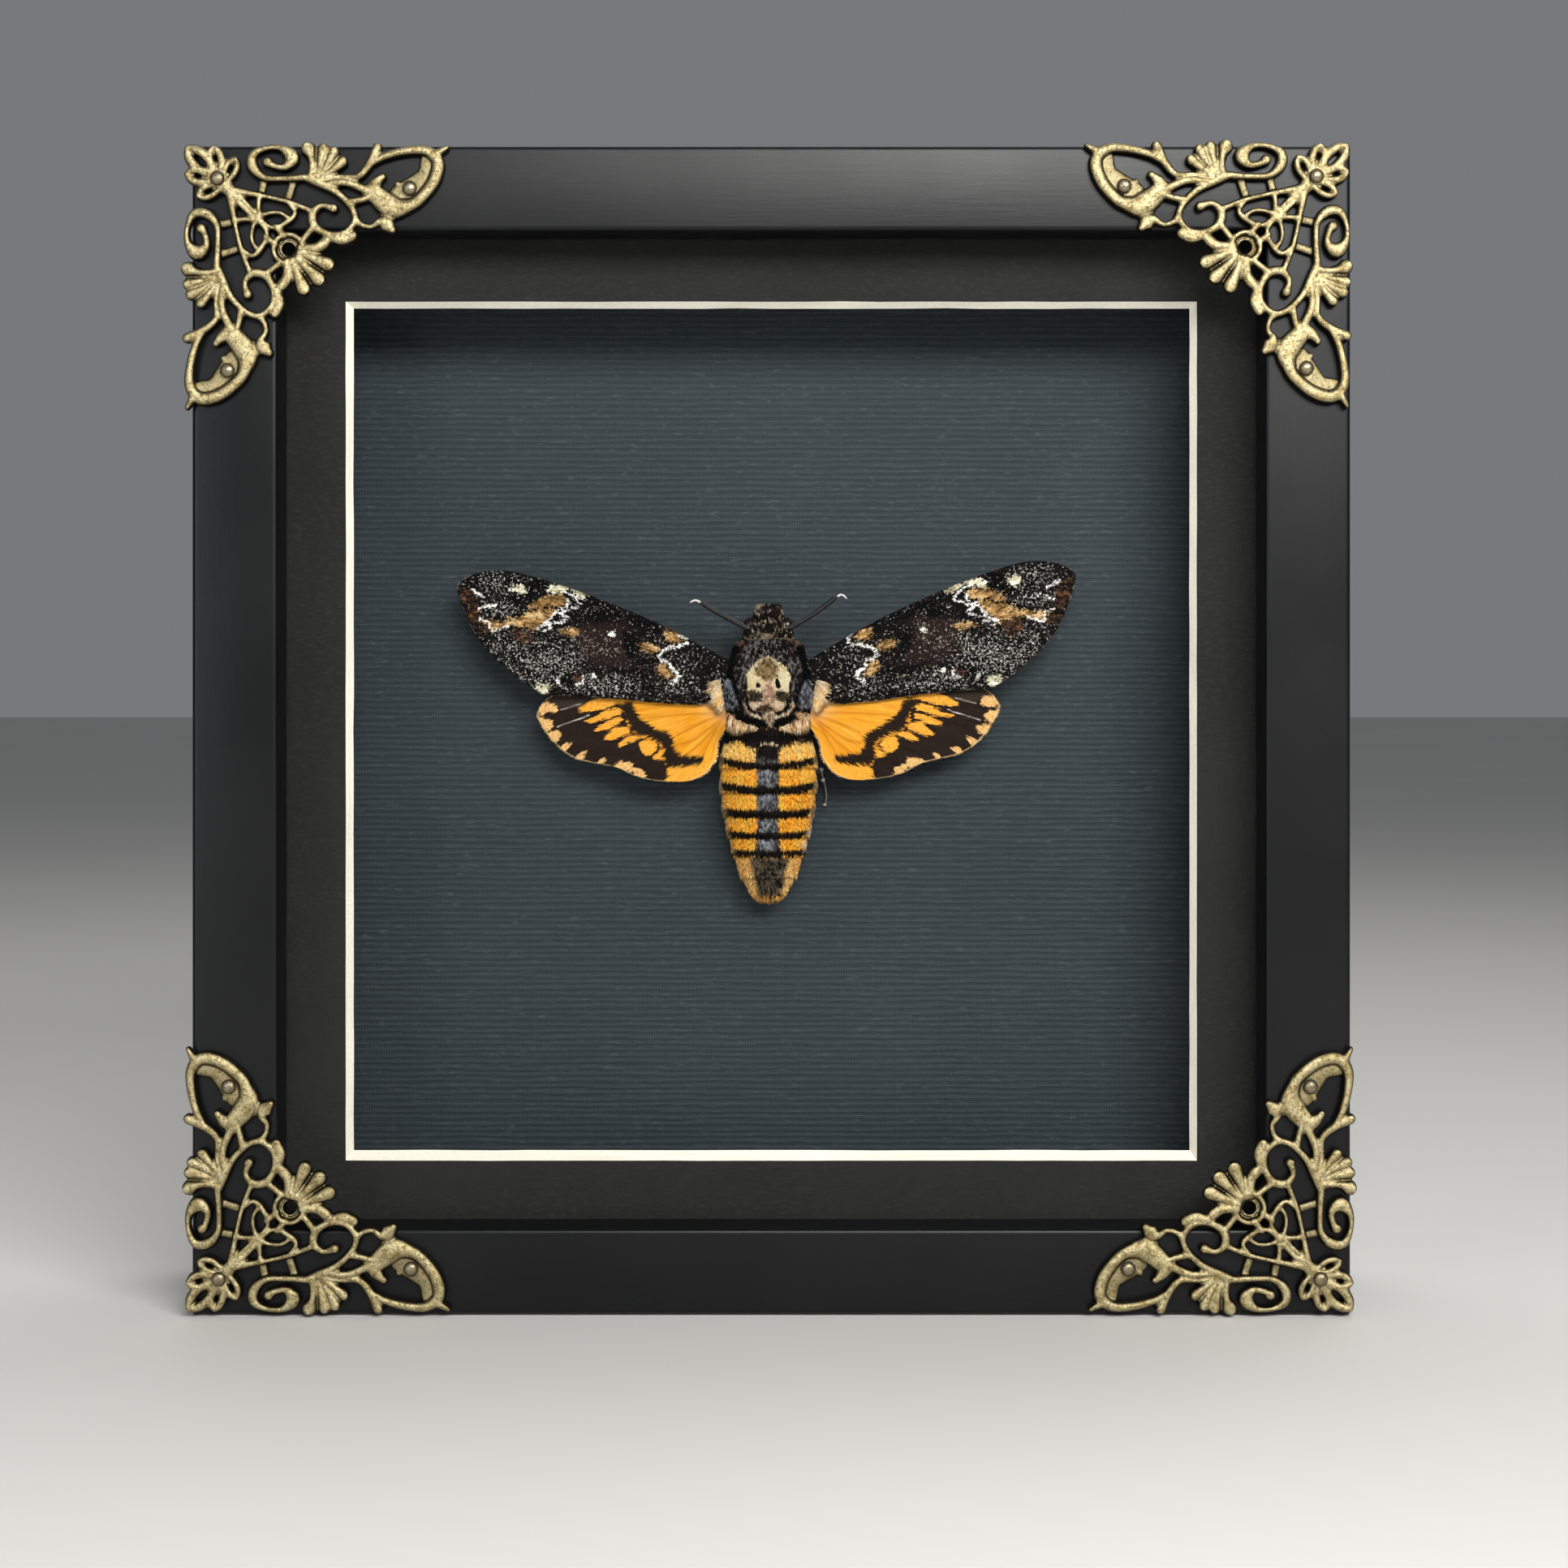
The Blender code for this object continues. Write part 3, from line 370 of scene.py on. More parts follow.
# %% Dark card with a fine tooth
MAT_DARK = Finish("mat_dark_card", Roughness=.86, Specular_IOR_Level=.25)
place = MAT_DARK.in_mm()
tooth = MAT_DARK.noise(place, 3.2, 4, .65)
fibre = MAT_DARK.noise(MAT_DARK.in_mm((.35, 1, 1)), 2.2, 3, .6)
cloud = MAT_DARK.noise(place, .03, 2)
black = MAT_DARK.mix(MAT_DARK.band(cloud, .35, .65), (28, 28, 27), (33, 33, 32))
black = MAT_DARK.mix(MAT_DARK.band(fibre, .5, .72, 0, .55), black, (52, 51, 48))
MAT_DARK.give("Base Color", black)
MAT_DARK.relief(tooth, .06, .7)

# %% Cream core, a little fuzzy from the blade
MAT_CORE = Finish("mat_cream_core", Roughness=.8, Specular_IOR_Level=.25)
place = MAT_CORE.in_mm()
fuzz = MAT_CORE.noise(place, 2.4, 4, .7)
layers = MAT_CORE.noise(MAT_CORE.in_mm((.05, 6, .05)), 1, 2)
cream = MAT_CORE.mix(MAT_CORE.band(fuzz, .35, .7), (232, 226, 208), (250, 246, 232))
cream = MAT_CORE.mix(MAT_CORE.band(layers, .55, .75, 0, .35), cream, (196, 184, 158))
MAT_CORE.give("Base Color", cream)
MAT_CORE.relief(fuzz, .05, .6)

# %% The mat; its edges, window and bevel run left, right, bottom, top, in mm
MAT_LOW, MAT_HIGH = corners_of("mat_board")
BOARD_EDGES = np.array([MAT_LOW[0], MAT_HIGH[0], MAT_LOW[2], MAT_HIGH[2]])
WINDOW = np.array([-76.4, 76.3, 24.9, 179.0])
BEVEL = np.array([1.2, -1.12, 1.62, -1.08])


def square_ring(left, right, bottom, top, depth, count=24):
    """Points round a square, count on each side."""
    corners = [(left, bottom), (right, bottom), (right, top), (left, top)]
    ring = []
    for (x0, z0), (x1, z1) in zip(corners, corners[1:] + corners[:1]):
        for k in range(count):
            t = k / count
            ring.append((x0 + (x1 - x0) * t, depth, z0 + (z1 - z0) * t))
    return ring


waver = np.random.default_rng(11)
mat_front, mat_back = MAT_LOW[1], MAT_HIGH[1]
window_ring = np.array(square_ring(*WINDOW, mat_front))
foot_ring = np.array(square_ring(*(WINDOW + BEVEL), mat_back))
window_ring[:, [0, 2]] += waver.normal(0, .025, (len(window_ring), 2))
foot_ring[:, [0, 2]] += waver.normal(0, .03, (len(foot_ring), 2))
mat_points = np.vstack([square_ring(*BOARD_EDGES, mat_front), window_ring, foot_ring,
                        square_ring(*BOARD_EDGES, mat_back)])
mat_count = len(window_ring)
mat_faces = grid_faces(4, mat_count, closed=True)
mat_faces += [[3 * mat_count + k, 3 * mat_count + (k + 1) % mat_count, (k + 1) % mat_count, k]
              for k in range(mat_count)]
mat_piece = new_piece("window_mat", mat_points, mat_faces, [MAT_DARK, MAT_CORE],
                      ["mat_board"], smooth=False)
for face in mat_piece.data.polygons[mat_count:2 * mat_count]:
    face.material_index = 1
print("mat window, mm:", WINDOW.tolist())

# %% [markdown]
# ## The linen card behind the moth
#
# The backing is a slate-blue card embossed like book linen: low ribs run
# across it about a millimetre apart, and a finer weave crosses them. The
# ribs could be modelled, but they are a tenth of a millimetre high, so a
# wave texture bent by noise raises them in the finish alone. The raised
# threads are also painted paler, as painted highlight, and short pale
# dashes are painted glints.

# %% Slate-blue linen
LINEN = Finish("slate_linen_card", Roughness=.55, Specular_IOR_Level=.2)
place = LINEN.in_mm()
rib_place = LINEN.in_mm((.2, 1, 1))


BAND_LENGTH = .314159       # how far apart the bands of a wave texture are at scale 1


def threads(finish, place, spacing, direction, wander):
    """Rounded threads a given number of mm apart, slightly uneven."""
    inputs = {"Vector": place, "Scale": BAND_LENGTH / spacing, "Distortion": wander, "Detail": 3.0,
              "Detail Scale": 1.4, "Detail Roughness": .6}
    wave = finish.add("TexWave", inputs, wave_type="BANDS", bands_direction=direction, wave_profile="SIN")
    return wave.outputs["Fac"]


ribs = threads(LINEN, rib_place, 1.15, "Z", 3.6)
weft = threads(LINEN, place, .38, "Z", 1.6)
warp = threads(LINEN, place, .46, "X", 1.8)
slub = LINEN.noise(LINEN.in_mm((.12, 1, 1)), .9, 3, .6)
weave = LINEN.times(weft, warp)
height = LINEN.plus(LINEN.times(ribs, .42), LINEN.times(weave, .38))
height = LINEN.plus(height, LINEN.times(slub, .3))
cloud = LINEN.noise(place, .02, 2)
slate = LINEN.mix(LINEN.band(cloud, .3, .7), (33, 42, 47), (40, 49, 54))
# Painted highlight: the raised tops of the ribs and the weave are painted paler
slate = LINEN.mix(LINEN.band(height, .4, .9, 0, .4), slate, (77, 87, 91))
slate = LINEN.mix(LINEN.band(slub, .6, .8, 0, .3), slate, (24, 30, 35))
# Painted glints: short pale dashes along the ribs
painted_glint_dashes = LINEN.noise(LINEN.in_mm((.3, 1, 1)), 1.9, 2, .5)
slate = LINEN.mix(LINEN.band(painted_glint_dashes, .6, .72, 0, .16), slate, (108, 118, 120))
LINEN.give("Base Color", slate)
LINEN.relief(height, .11, 1)
dress("backing_card", LINEN)

# %% [markdown]
# ## The back of the box
#
# The photo shows only the front. Such boxes are closed with a sheet of
# brown hardboard, held by four turn buttons and hung from a toothed bar,
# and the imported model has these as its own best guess. The hardboard gets
# its pressed screen pattern, and the metal gets rounded edges.

# %% Brown hardboard
BOARD = Finish("hardboard", Roughness=.7)
place = BOARD.in_mm()
fibre = BOARD.noise(BOARD.in_mm((1, 1, .3)), 1.8, 5, .7)
screen = BOARD.times(threads(BOARD, place, .9, "X", .3), threads(BOARD, place, .9, "Z", .3))
brown = BOARD.mix(BOARD.band(fibre, .35, .7), (96, 66, 42), (142, 104, 70))
BOARD.give("Base Color", BOARD.mix(BOARD.times(screen, .4), brown, (84, 57, 36)))
BOARD.relief(BOARD.plus(screen, fibre), .08, .8)
dress("back_panel", BOARD)

# %% Plated steel, with fine scratches
STEEL = Finish("plated_steel", Metallic=1)
place = STEEL.in_mm()
scratch = STEEL.noise(STEEL.in_mm((.15, 1, 1)), 9, 3, .7)
tarnish = STEEL.noise(place, .35, 4)
STEEL.give("Base Color", STEEL.mix(STEEL.band(tarnish, .45, .7, 0, .6), (186, 186, 182), (128, 120, 106)))
STEEL.give("Roughness", STEEL.band(scratch, .3, .7, .26, .46))
STEEL.relief(scratch, .02, .5)


EDGE_ROUNDING = .12
SHARP_EDGE = math.radians(40)


def rounded_metal(node):
    """A copy of a packed metal part whose sharp edges are rounded."""
    work = bmesh.new()
    work.from_mesh(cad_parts[node].data)
    bmesh.ops.remove_doubles(work, verts=work.verts, dist=.001 * MM)
    bmesh.ops.dissolve_limit(work, angle_limit=math.radians(2), verts=work.verts, edges=work.edges)
    mesh = bpy.data.meshes.new(node + "_rounded")
    work.to_mesh(mesh)
    work.free()
    piece = finish_piece(node + "_rounded", mesh, [STEEL], [node])
    mesh.set_sharp_from_angle(angle=SHARP_EDGE)
    bevel = piece.modifiers.new("soft_edges", "BEVEL")
    bevel.width = EDGE_ROUNDING * MM
    bevel.segments = 2
    bevel.limit_method = "ANGLE"
    bevel.angle_limit = SHARP_EDGE
    bevel.harden_normals = True


FITTINGS = [name for name in sorted(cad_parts) if name.startswith(("turn_button", "hanger"))]
for name in FITTINGS:
    rounded_metal(name)
print("metal fittings on the back:", len(FITTINGS))

# %% [markdown]
# ## The cast corners
#
# Each corner of the frame carries a thin pierced casting in antique brass:
# a five-leaved palmette at the tip, scrolls along both edges, a ring with
# petals on the diagonal, and a pierced loop at each end. In the real ones
# a molten alloy fills a mould of round ridges. Here each strand is a ridge
# swept along a curve, drawn once for one half and swapped for its twin.
# The overlapping ridges are then fused by a voxel remesh, which also
# rounds the joints as casting does. One mesh serves all four corners.

# %% Strands from the corner's tip: (along, across, width), mm; each has a twin
STRANDS = [
    (21.5,6,1.1, 17.5,6.2,.9, 14.3,6,1, 12.3,4.2,1.5, 12.3,2.1,1.3, 14.6,.9,.8, 17.3,.9,1, 19.1,2.5,2.1,
     17.9,4.2,1.1, 15.8,3.9,1, 14.8,3.3,1.2),
    (21.5,6,1.1, 23.4,6.7,1.4, 27,8.6,1.1, 29.6,11.3,1, 30.1,13.6,1, 28.3,15.7,1, 25.6,15.9,1,
     23.2,14.6,1.3, 22.7,12.4,1.3, 24.3,10.9,.9, 26.4,11.4,1.2),
    (22,1.1,2, 22.5,2.4,1.1, 22.7,4,1.1, 22.5,6,1.1),
    (24.6,1.1,1.6, 24.2,2.9,1.1, 23.4,5.9,.7),
    (26.4,1.6,1.6, 25.6,3.3,1.1, 23.9,5.9,.7),
    (27.9,3.3,1.5, 26.4,4.6,1.1, 24.2,6.1,.8),
    (24.2,6.3,.9, 27.5,5.8,.7, 30.6,5.9,1, 32.6,3.8,1.2, 34,.9,1.4),
    (32.9,3.6,1, 35.1,2.4,1.1, 38.8,1.4,1.2, 42.4,1.3,1.4, 44.6,3.2,1.7, 43.9,6.6,1.7, 41.3,9.9,1.6,
     39.2,11,1.9, 36.8,11.2,3, 34.2,9.3,2.7, 33.4,7.6,2.1, 34.9,5.8,.9),
    (44.3,1.9,1.2, 46.2,.8,.7),
    (25.2,7.1,1, 28.8,6.9,1.2, 32.4,8.4,1.3),
    (29.2,10.3,1.1, 31.6,9.8,1, 33.2,9.2,1),
    (29.9,12.3,.9, 31,14.1,.9, 33,14.6,.8, 34.4,13.7,1.2, 35.6,14.1,2.2, 36.6,15.1,1.2),
    (26,16.4,1.4, 27.9,16.8,1.7, 29.6,16.2,1.5),
    (8.6,8.3,1.4, 13.5,9.1,.8, 18.6,10.3,.8, 22.7,11.9,.9),
    (13.5,9.1,.9, 13.3,11,.8, 13.4,13.1,.8),
    (13.1,13,.9, 15.1,12.2,.7, 17.2,12.2,.7, 18.9,13.4,.8),
    (13.1,13.1,.9, 15.8,14.8,.7, 18.4,13.7,.9, 19.7,12.2,.8, 18.6,10.4,.8),
    (9.4,8.8,.9, 12.9,12.4,.8),
    (16.4,14.6,1, 17.7,16.2,1),
    (23,14.4,1, 21,17,1),
    (20.6,19.2,1.2, 23.2,20.2,1.4, 25.3,21.1,2),
    (20.7,18.3,1.1, 23.4,18.3,1.5, 24.8,17.4,1.6),
]
LOW_STRANDS = [
    (14.2,6.1,1.1, 13.6,9,1.1),
    (19.5,6.1,1.1, 18.2,10,1.1),
    (42.6,3,1.8, 42.6,5.4,2.6, 40.9,7.4,3.2, 38,8.9,2.9),
    (24,2.9,3.6, 23.6,5.4,1.8),
    (26,3.9,1.6, 24.2,5.6,1.3),
    (37.6,7.1,.9, 38.6,7.8,1.2),
    (34.9,11,1, 34.9,13.6,1),
]
MIDDLE_STRANDS = [
    (20.2,20.2,1.2, 22,22,1.3, 23.7,23.7,2),
    (7,7,2.2, 9.4,9.4,1.6),
]
KNOBS = [(14.9, 3.3, 1.0, 1.85), (26.4, 11.4, .95, 1.85), (25.4, 21.1, 1.25, 1.7),
         (24.9, 17.3, .95, 1.6), (35.0, 5.9, .7, 1.7), (28.0, 16.8, 1.1, 1.75),
         (39.7, 7.9, 1.9, .9)]
LEAF_BASE = (6.2, 6.2)
LEAVES = [(225, 7.9, 4.1, .26, 0.0), (188, 5.8, 3.5, .3, 0.0), (262, 5.8, 3.5, .3, 0.0),
          (155, 5.2, 3.0, .3, 1.0), (295, 5.2, 3.0, .3, 1.0)]
RING_MIDDLE = 18.5

# %% A ridge with a flat back, swept along a strand
RIDGE_SECTION = [(-1, 0), (-1, .34), (-.94, .6), (-.75, .82), (-.4, .96), (0, 1), (.4, .96), (.75, .82),
                 (.94, .6), (1, .34), (1, 0)]
WIDEN = 1.42
LOW_RIDGE = .95
casting_points = []
casting_faces = []


def pour(points, rows, columns):
    """Add a closed lump made of rows of points to the casting."""
    start = len(casting_points)
    casting_points.extend(points)
    casting_faces.extend(closed_faces(rows, columns, start))


def ridge_along(strand, height=None, swap=False):
    """A round-topped ridge; its ends are rounded off by three shrinking sections."""
    path = curve_through(np.reshape(strand, (-1, 3)), .55)
    if swap:
        path = path[:, [1, 0, 2]]
    ways = unit(np.gradient(path[:, :2], axis=0))
    path[:, 2] *= WIDEN
    stations = []
    for end, sign, order in ((0, -1, (80, 55, 28)), (-1, 1, (28, 55, 80))):
        caps = [(path[end, :2] + ways[end] * sign * path[end, 2] / 2 * math.sin(math.radians(t)),
                 ways[end], path[end, 2] * math.cos(math.radians(t))) for t in order]
        if end == 0:
            stations = caps + [(p[:2], w, p[2]) for p, w in zip(path, ways)]
        else:
            stations += caps
    points = []
    for place, way, width in stations:
        top = height if height else min(1.05 + .5 * width, 1.8)
        top *= .55 + .45 * min(1.0, width / .7)
        side = np.array([-way[1], way[0]])
        for across, up in RIDGE_SECTION:
            spot = place + side * across * width / 2
            points.append((spot[0], spot[1], up * top))
    pour(points, len(stations), len(RIDGE_SECTION))


def dome(along, across, radius, height, sides=16):
    """A round knob with a flat back."""
    points = []
    for share, up in ((1.0, 0.0), (1.0, .45), (.88, .75), (.6, .93), (.15, 1.0)):
        for k in range(sides):
            angle = 2 * math.pi * k / sides
            points.append((along + radius * share * math.cos(angle), across + radius * share
                           * math.sin(angle), height * up))
    pour(points, 5, sides)


def round_band(radius, width, height, sides=48):
    """A raised ring about the middle of the flower."""
    rows = []
    for k in range(sides):
        angle = 2 * math.pi * k / sides
        for across, up in RIDGE_SECTION:
            far = radius + across * width / 2
            rows.append((RING_MIDDLE + far * math.cos(angle), RING_MIDDLE + far * math.sin(angle),
                         up * height))
    start = len(casting_points)
    casting_points.extend(rows)
    count = len(RIDGE_SECTION)
    for k in range(sides):
        for j in range(count):
            a = start + k * count + j
            b = start + k * count + (j + 1) % count
            after = ((k + 1) % sides - k) * count
            casting_faces.append([a, b, b + after, a + after])


# %% Leaves with a slit, made of two curved sides and a solid foot and tip
def leaf(direction, length, width, foot, inwards):
    spin = math.radians(direction)
    way = np.array([math.cos(spin), math.sin(spin)])
    side = np.array([-way[1], way[0]])

    def spot(share, aside, wide):
        place = np.array(LEAF_BASE) + inwards + way * length * share + side * aside * width
        return (*place, wide)

    for half in (-1, 1):
        ridge_along([spot(.14, .14 * half, width * .26), spot(.38, .27 * half, width * .31),
                     spot(.62, .31 * half, width * .33), spot(.82, .20 * half, width * .31),
                     spot(.95, .03 * half, width * .18)], 1.7)
    ridge_along([spot(0.0, 0, width * .4), spot(foot, 0, width * .30)], 1.2)


# %% Pour every part of the corner
for strand in STRANDS:
    ridge_along(strand)
    ridge_along(strand, swap=True)
for strand in LOW_STRANDS:
    ridge_along(strand, LOW_RIDGE)
    ridge_along(strand, LOW_RIDGE, swap=True)
for strand in MIDDLE_STRANDS:
    ridge_along(strand)
for along, across, radius, height in KNOBS:
    dome(along, across, radius, height)
    dome(across, along, radius, height)
dome(23.8, 23.8, 1.25, 1.7)
dome(LEAF_BASE[0], LEAF_BASE[1], 1.9, 1.15)
for one in LEAVES:
    leaf(*one)
round_band(2.55, 1.15, 1.8)
round_band(1.8, 1.5, .7)
round_band(1.35, .5, 1.1)
print("lumps poured, points:", len(casting_points))

# %% Fuse the lumps and thin the mesh
VOXEL = .19


def fused_casting():
    """The fused corner as a mesh in metres: +X along, -Z across, -Y towards the viewer."""
    rough = bpy.data.meshes.new("casting_rough")
    turned = [(along, -up, -across) for along, across, up in casting_points]
    rough.from_pydata(turned, [], casting_faces)
    lump = bpy.data.objects.new("casting_rough", rough)
    bpy.context.scene.collection.objects.link(lump)
    fusing = lump.modifiers.new("fuse", "REMESH")
    fusing.mode = "VOXEL"
    fusing.voxel_size = VOXEL
    easing = lump.modifiers.new("ease", "SMOOTH")
    easing.factor = .5
    easing.iterations = 2
    thinning = lump.modifiers.new("thin", "DECIMATE")
    thinning.ratio = .4
    seen = lump.evaluated_get(bpy.context.evaluated_depsgraph_get())
    mesh = bpy.data.meshes.new_from_object(seen)
    bpy.data.objects.remove(lump)
    mesh.transform(Matrix.Scale(MM, 4))
    return mesh


CASTING = fused_casting()
print("faces in one corner:", len(CASTING.polygons))

# %% [markdown]
# ### Antique brass
#
# The castings are plated and then darkened, and the dark stain is rubbed
# off where a hand would touch. So the tops are pale gold and the hollows
# olive-brown. The finish looks at two things, how squarely the surface
# faces the front and how far it stands out, and a fine grain breaks up
# the change. The sides that turn away from the front get the dark stain
# tone as painted shade, and the parts that stand furthest out are
# brightened as painted highlight as well as by rubbing.

# %% Rubbed brass, with painted shade on the sides and painted highlight on the tops
def brass_finish(name, worn, stain_and_shade, grit):
    finish = Finish(name, Metallic=.85, Specular_IOR_Level=.5)
    place = finish.in_mm()
    facing = finish.add("SeparateXYZ", {"Vector": finish.add("TexCoord").outputs["Normal"]}).outputs[1]
    facing = finish.times(facing, -1)
    grains = finish.noise(place, 1.9, 5, .8)
    depth = finish.add("SeparateXYZ", {"Vector": finish.add("TexCoord").outputs["Object"]})
    # How far a part stands out: low parts by the frame go dark with patina, the highest ones are lifted
    # towards pale gold, as rubbing and as painted highlight
    lift = finish.band(depth.outputs[1], (FRONT - .7) * MM, (FRONT - 1.9) * MM, -.22, .14)
    blots = finish.noise(place, .6, 3, .6)
    # Surfaces turned away from the front fall to the dark stain tone: painted shade on top of the real
    # patina
    wear_and_shade = finish.plus(facing, finish.times(finish.minus(grains, .5), .9))
    wear_and_shade = finish.plus(wear_and_shade, finish.times(finish.minus(blots, .5), .7))
    wear_and_shade = finish.band(finish.plus(wear_and_shade, lift), .52, 1.06)
    tops = finish.mix(finish.band(blots, .35, .7), worn, stain_and_shade[0])
    tops = finish.mix(finish.band(grains, .5, .57, 0, .62), tops, stain_and_shade[1])
    finish.give("Base Color", finish.mix(wear_and_shade, stain_and_shade[1], tops))
    finish.give("Roughness", finish.band(grains, .4, .6, .26, .52))
    finish.relief(finish.plus(grains, finish.times(blots, .5)), grit, .9)
    return finish


BRASS = brass_finish("rubbed_brass", (202, 188, 144), ((140, 122, 78), (40, 33, 19)), .14)
NAIL_BRASS = brass_finish("nail_brass", (160, 148, 122), ((128, 116, 90), (52, 44, 30)), .03)

# %% [markdown]
# ### Corners and nails in place
#
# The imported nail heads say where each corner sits: the first nail of each
# is at a known place in the casting. Each nail is a low round head whose
# shank goes into the frame.

# %% Four corners, each turned by a quarter from the last
NAIL_SPOTS = [(6.3, 6.3), (39.7, 7.9), (7.9, 39.7)]
CORNER_TURNS = {"top_left": 0, "top_right": 1, "bottom_right": 2, "bottom_left": 3}


def nail_head(name, node):
    """A domed head on a short shank, in place of a packed nail."""
    low, high = corners_of(node)
    middle = (low + high) / 2
    radius = (high[0] - low[0]) / 2
    tall = high[1] - low[1]
    profile = [(.42, -.9), (.42, 0.0), (.94, 0.0), (1.0, .12), (.97, .3), (.86, .54), (.66, .78),
               (.4, .93), (.12, 1.0)]
    sides = 28
    points = [(middle[0] + radius * r * math.cos(2 * math.pi * k / sides), high[1] - tall * up, middle[2]
               + radius * r * math.sin(2 * math.pi * k / sides)) for r, up in profile
              for k in range(sides)]
    new_piece(name, points, closed_faces(len(profile), sides), [NAIL_BRASS], [node])


for corner, quarter in CORNER_TURNS.items():
    first = sum(corners_of(f"ornament_nail_{corner}_1")) / 2
    spin = Matrix.Rotation(quarter * math.pi / 2, 3, "Y")
    offset = spin @ Vector((NAIL_SPOTS[0][0], 0, -NAIL_SPOTS[0][1]))
    back = corners_of("corner_ornament_" + corner)[1][1]
    tip = Vector((first[0] - offset.x, back, first[2] - offset.z)) * MM
    mesh = CASTING.copy()
    mesh.transform(Matrix.Translation(tip) @ spin.to_4x4())
    finish_piece("filigree_" + corner, mesh, [BRASS], ["corner_ornament_" + corner])
    for number in (1, 2, 3):
        nail_head(f"filigree_nail_{corner}_{number}", f"ornament_nail_{corner}_{number}")
print("corners and nails in place")

# %% [markdown]
# ## Where the moth is
#
# All of the moth is drawn in its own frame: across to the right, up along
# its body, and above the card. The zero is on the card, behind the middle
# of the thorax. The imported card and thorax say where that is.

# %% The moth's own frame, in mm
CARD_FACE = corners_of("backing_card")[0][1]
THORAX_LOW, THORAX_HIGH = corners_of("moth_thorax")
MOTH_X = (THORAX_LOW[0] + THORAX_HIGH[0]) / 2
MOTH_Z = THORAX_HIGH[2] - 6.6


def on_moth(across, along, above):
    """Places in the model from places in the moth's frame."""
    across, along, above = np.broadcast_arrays(across, along, above)
    return np.stack([MOTH_X + across, CARD_FACE - above, MOTH_Z + along], axis=-1)


print("middle of the thorax, mm:", round(MOTH_X, 2), round(MOTH_Z, 2))

# %% [markdown]
# ## Lines and fields
#
# Wing edges are smooth curves through a few measured points. The markings
# are drawn as outlines too, but they aren't cut into the mesh. Each point
# of the wing gets the distance to the nearest outline of a colour, in mm
# and positive inside. The finish then switches colour where that field
# passes zero, and noise makes the edge ragged, as rows of scales do.

# %% Outlines and their distance fields
def at_share(path, shares):
    """Places at shares of a path's length."""
    length = run_along(path)
    return np.stack([np.interp(np.asarray(shares) * length[-1], length, path[:, i])
                     for i in range(path.shape[1])], axis=-1)


def distance_to(places, path):
    """Distance of each place to the nearest point of a path of straight parts."""
    nearest = np.full(len(places), 1e9)
    for start, end in zip(path, path[1:]):
        way = end - start
        share = ((places - start) @ way / max(way @ way, 1e-12)).clip(0, 1)
        nearest = np.minimum(nearest, np.linalg.norm(places - start - share[:, None] * way, axis=1))
    return nearest


def inside_outline(places, outline):
    """Which places lie inside a closed outline."""
    inside = np.zeros(len(places), bool)
    for (x0, y0), (x1, y1) in zip(outline, np.roll(outline, -1, axis=0)):
        if y0 == y1:
            continue
        crosses = (places[:, 1] > y0) != (places[:, 1] > y1)
        at = x0 + (places[:, 1] - y0) * (x1 - x0) / (y1 - y0)
        inside ^= crosses & (places[:, 0] < at)
    return inside


FIELD_REACH = 3.0


def patch_field(places, outlines, smooth=True):
    """The greatest signed distance to any of several outlines, up to the reach in mm.

    An outline is a row of numbers, across and along in turn.
    """
    field = np.full(len(places), -FIELD_REACH)
    for outline in outlines:
        path = np.reshape(outline, (-1, 2)).astype(float)
        if smooth:
            path = curve_through(path, .6, True)
        near = distance_to(places, np.vstack([path, path[:1]]))
        field = np.maximum(field, np.where(inside_outline(places, path), near, -near))
    return field.clip(-FIELD_REACH, FIELD_REACH)


def stroke_field(places, strokes):
    """The same for drawn lines, each a row of numbers: its width, then its points."""
    field = np.full(len(places), -FIELD_REACH)
    for width, *numbers in strokes:
        path = np.reshape(numbers, (-1, 2)).astype(float)
        if len(path) > 2:
            path = curve_through(path)
        field = np.maximum(field, width / 2 - distance_to(places, path))
    return field.clip(-FIELD_REACH, FIELD_REACH)


def set_values(mesh, name, values, kind="FLOAT", key="value"):
    """Keep a number, a vector or a colour at each point of a mesh."""
    numbers = np.asarray(values, np.float32).ravel()
    mesh.attributes.new(name, kind, "POINT").data.foreach_set(key, numbers)


# %% [markdown]
# ## The wings
#
# A wing is a thin skin stretched over stiff veins that fan out from its
# root. Its outline here has four edges: the front edge, the outer margin,
# the rear edge, and the root that sits against the thorax. A grid between
# four curved edges is called a Coons patch, and its lines run the way the
# veins do, so the veins can be raised along them.

# %% The four edges and the veins of each kind of wing, (out, up) from the root, mm
FORE_WING = {
    "front": [(6.7, 6.9), (13.3, 10.1), (20.0, 12.9), (30.0, 16.6), (38.4, 18.9),
              (43.0, 19.1)],
    "margin": [(43.0, 19.1), (46.5, 18.1), (48.5, 16.5), (48.3, 14.4), (46.4, 9.6),
               (43.4, 4.7), (37.7, -.4), (33.0, -3.6)],
    "rear": [(3.3, -5.1), (10.0, -5.1), (21.7, -4.1), (33.0, -3.6)],
    "root_edge": [(-2.0, 2.2), (-.9, .8), (-.7, -.8), (-1.0, -2.4)],
    "veins": [(.02, 0.0), (.09, .3), (.19, .4), (.30, 0.0), (.42, .45),
              (.54, .45), (.66, .4), (.78, 0.0), (.90, 0.0)],
    "level": (10.0, 8.0), "root": (8.5, -.15), "grid": (196, 92), "vein_height": .16,
}
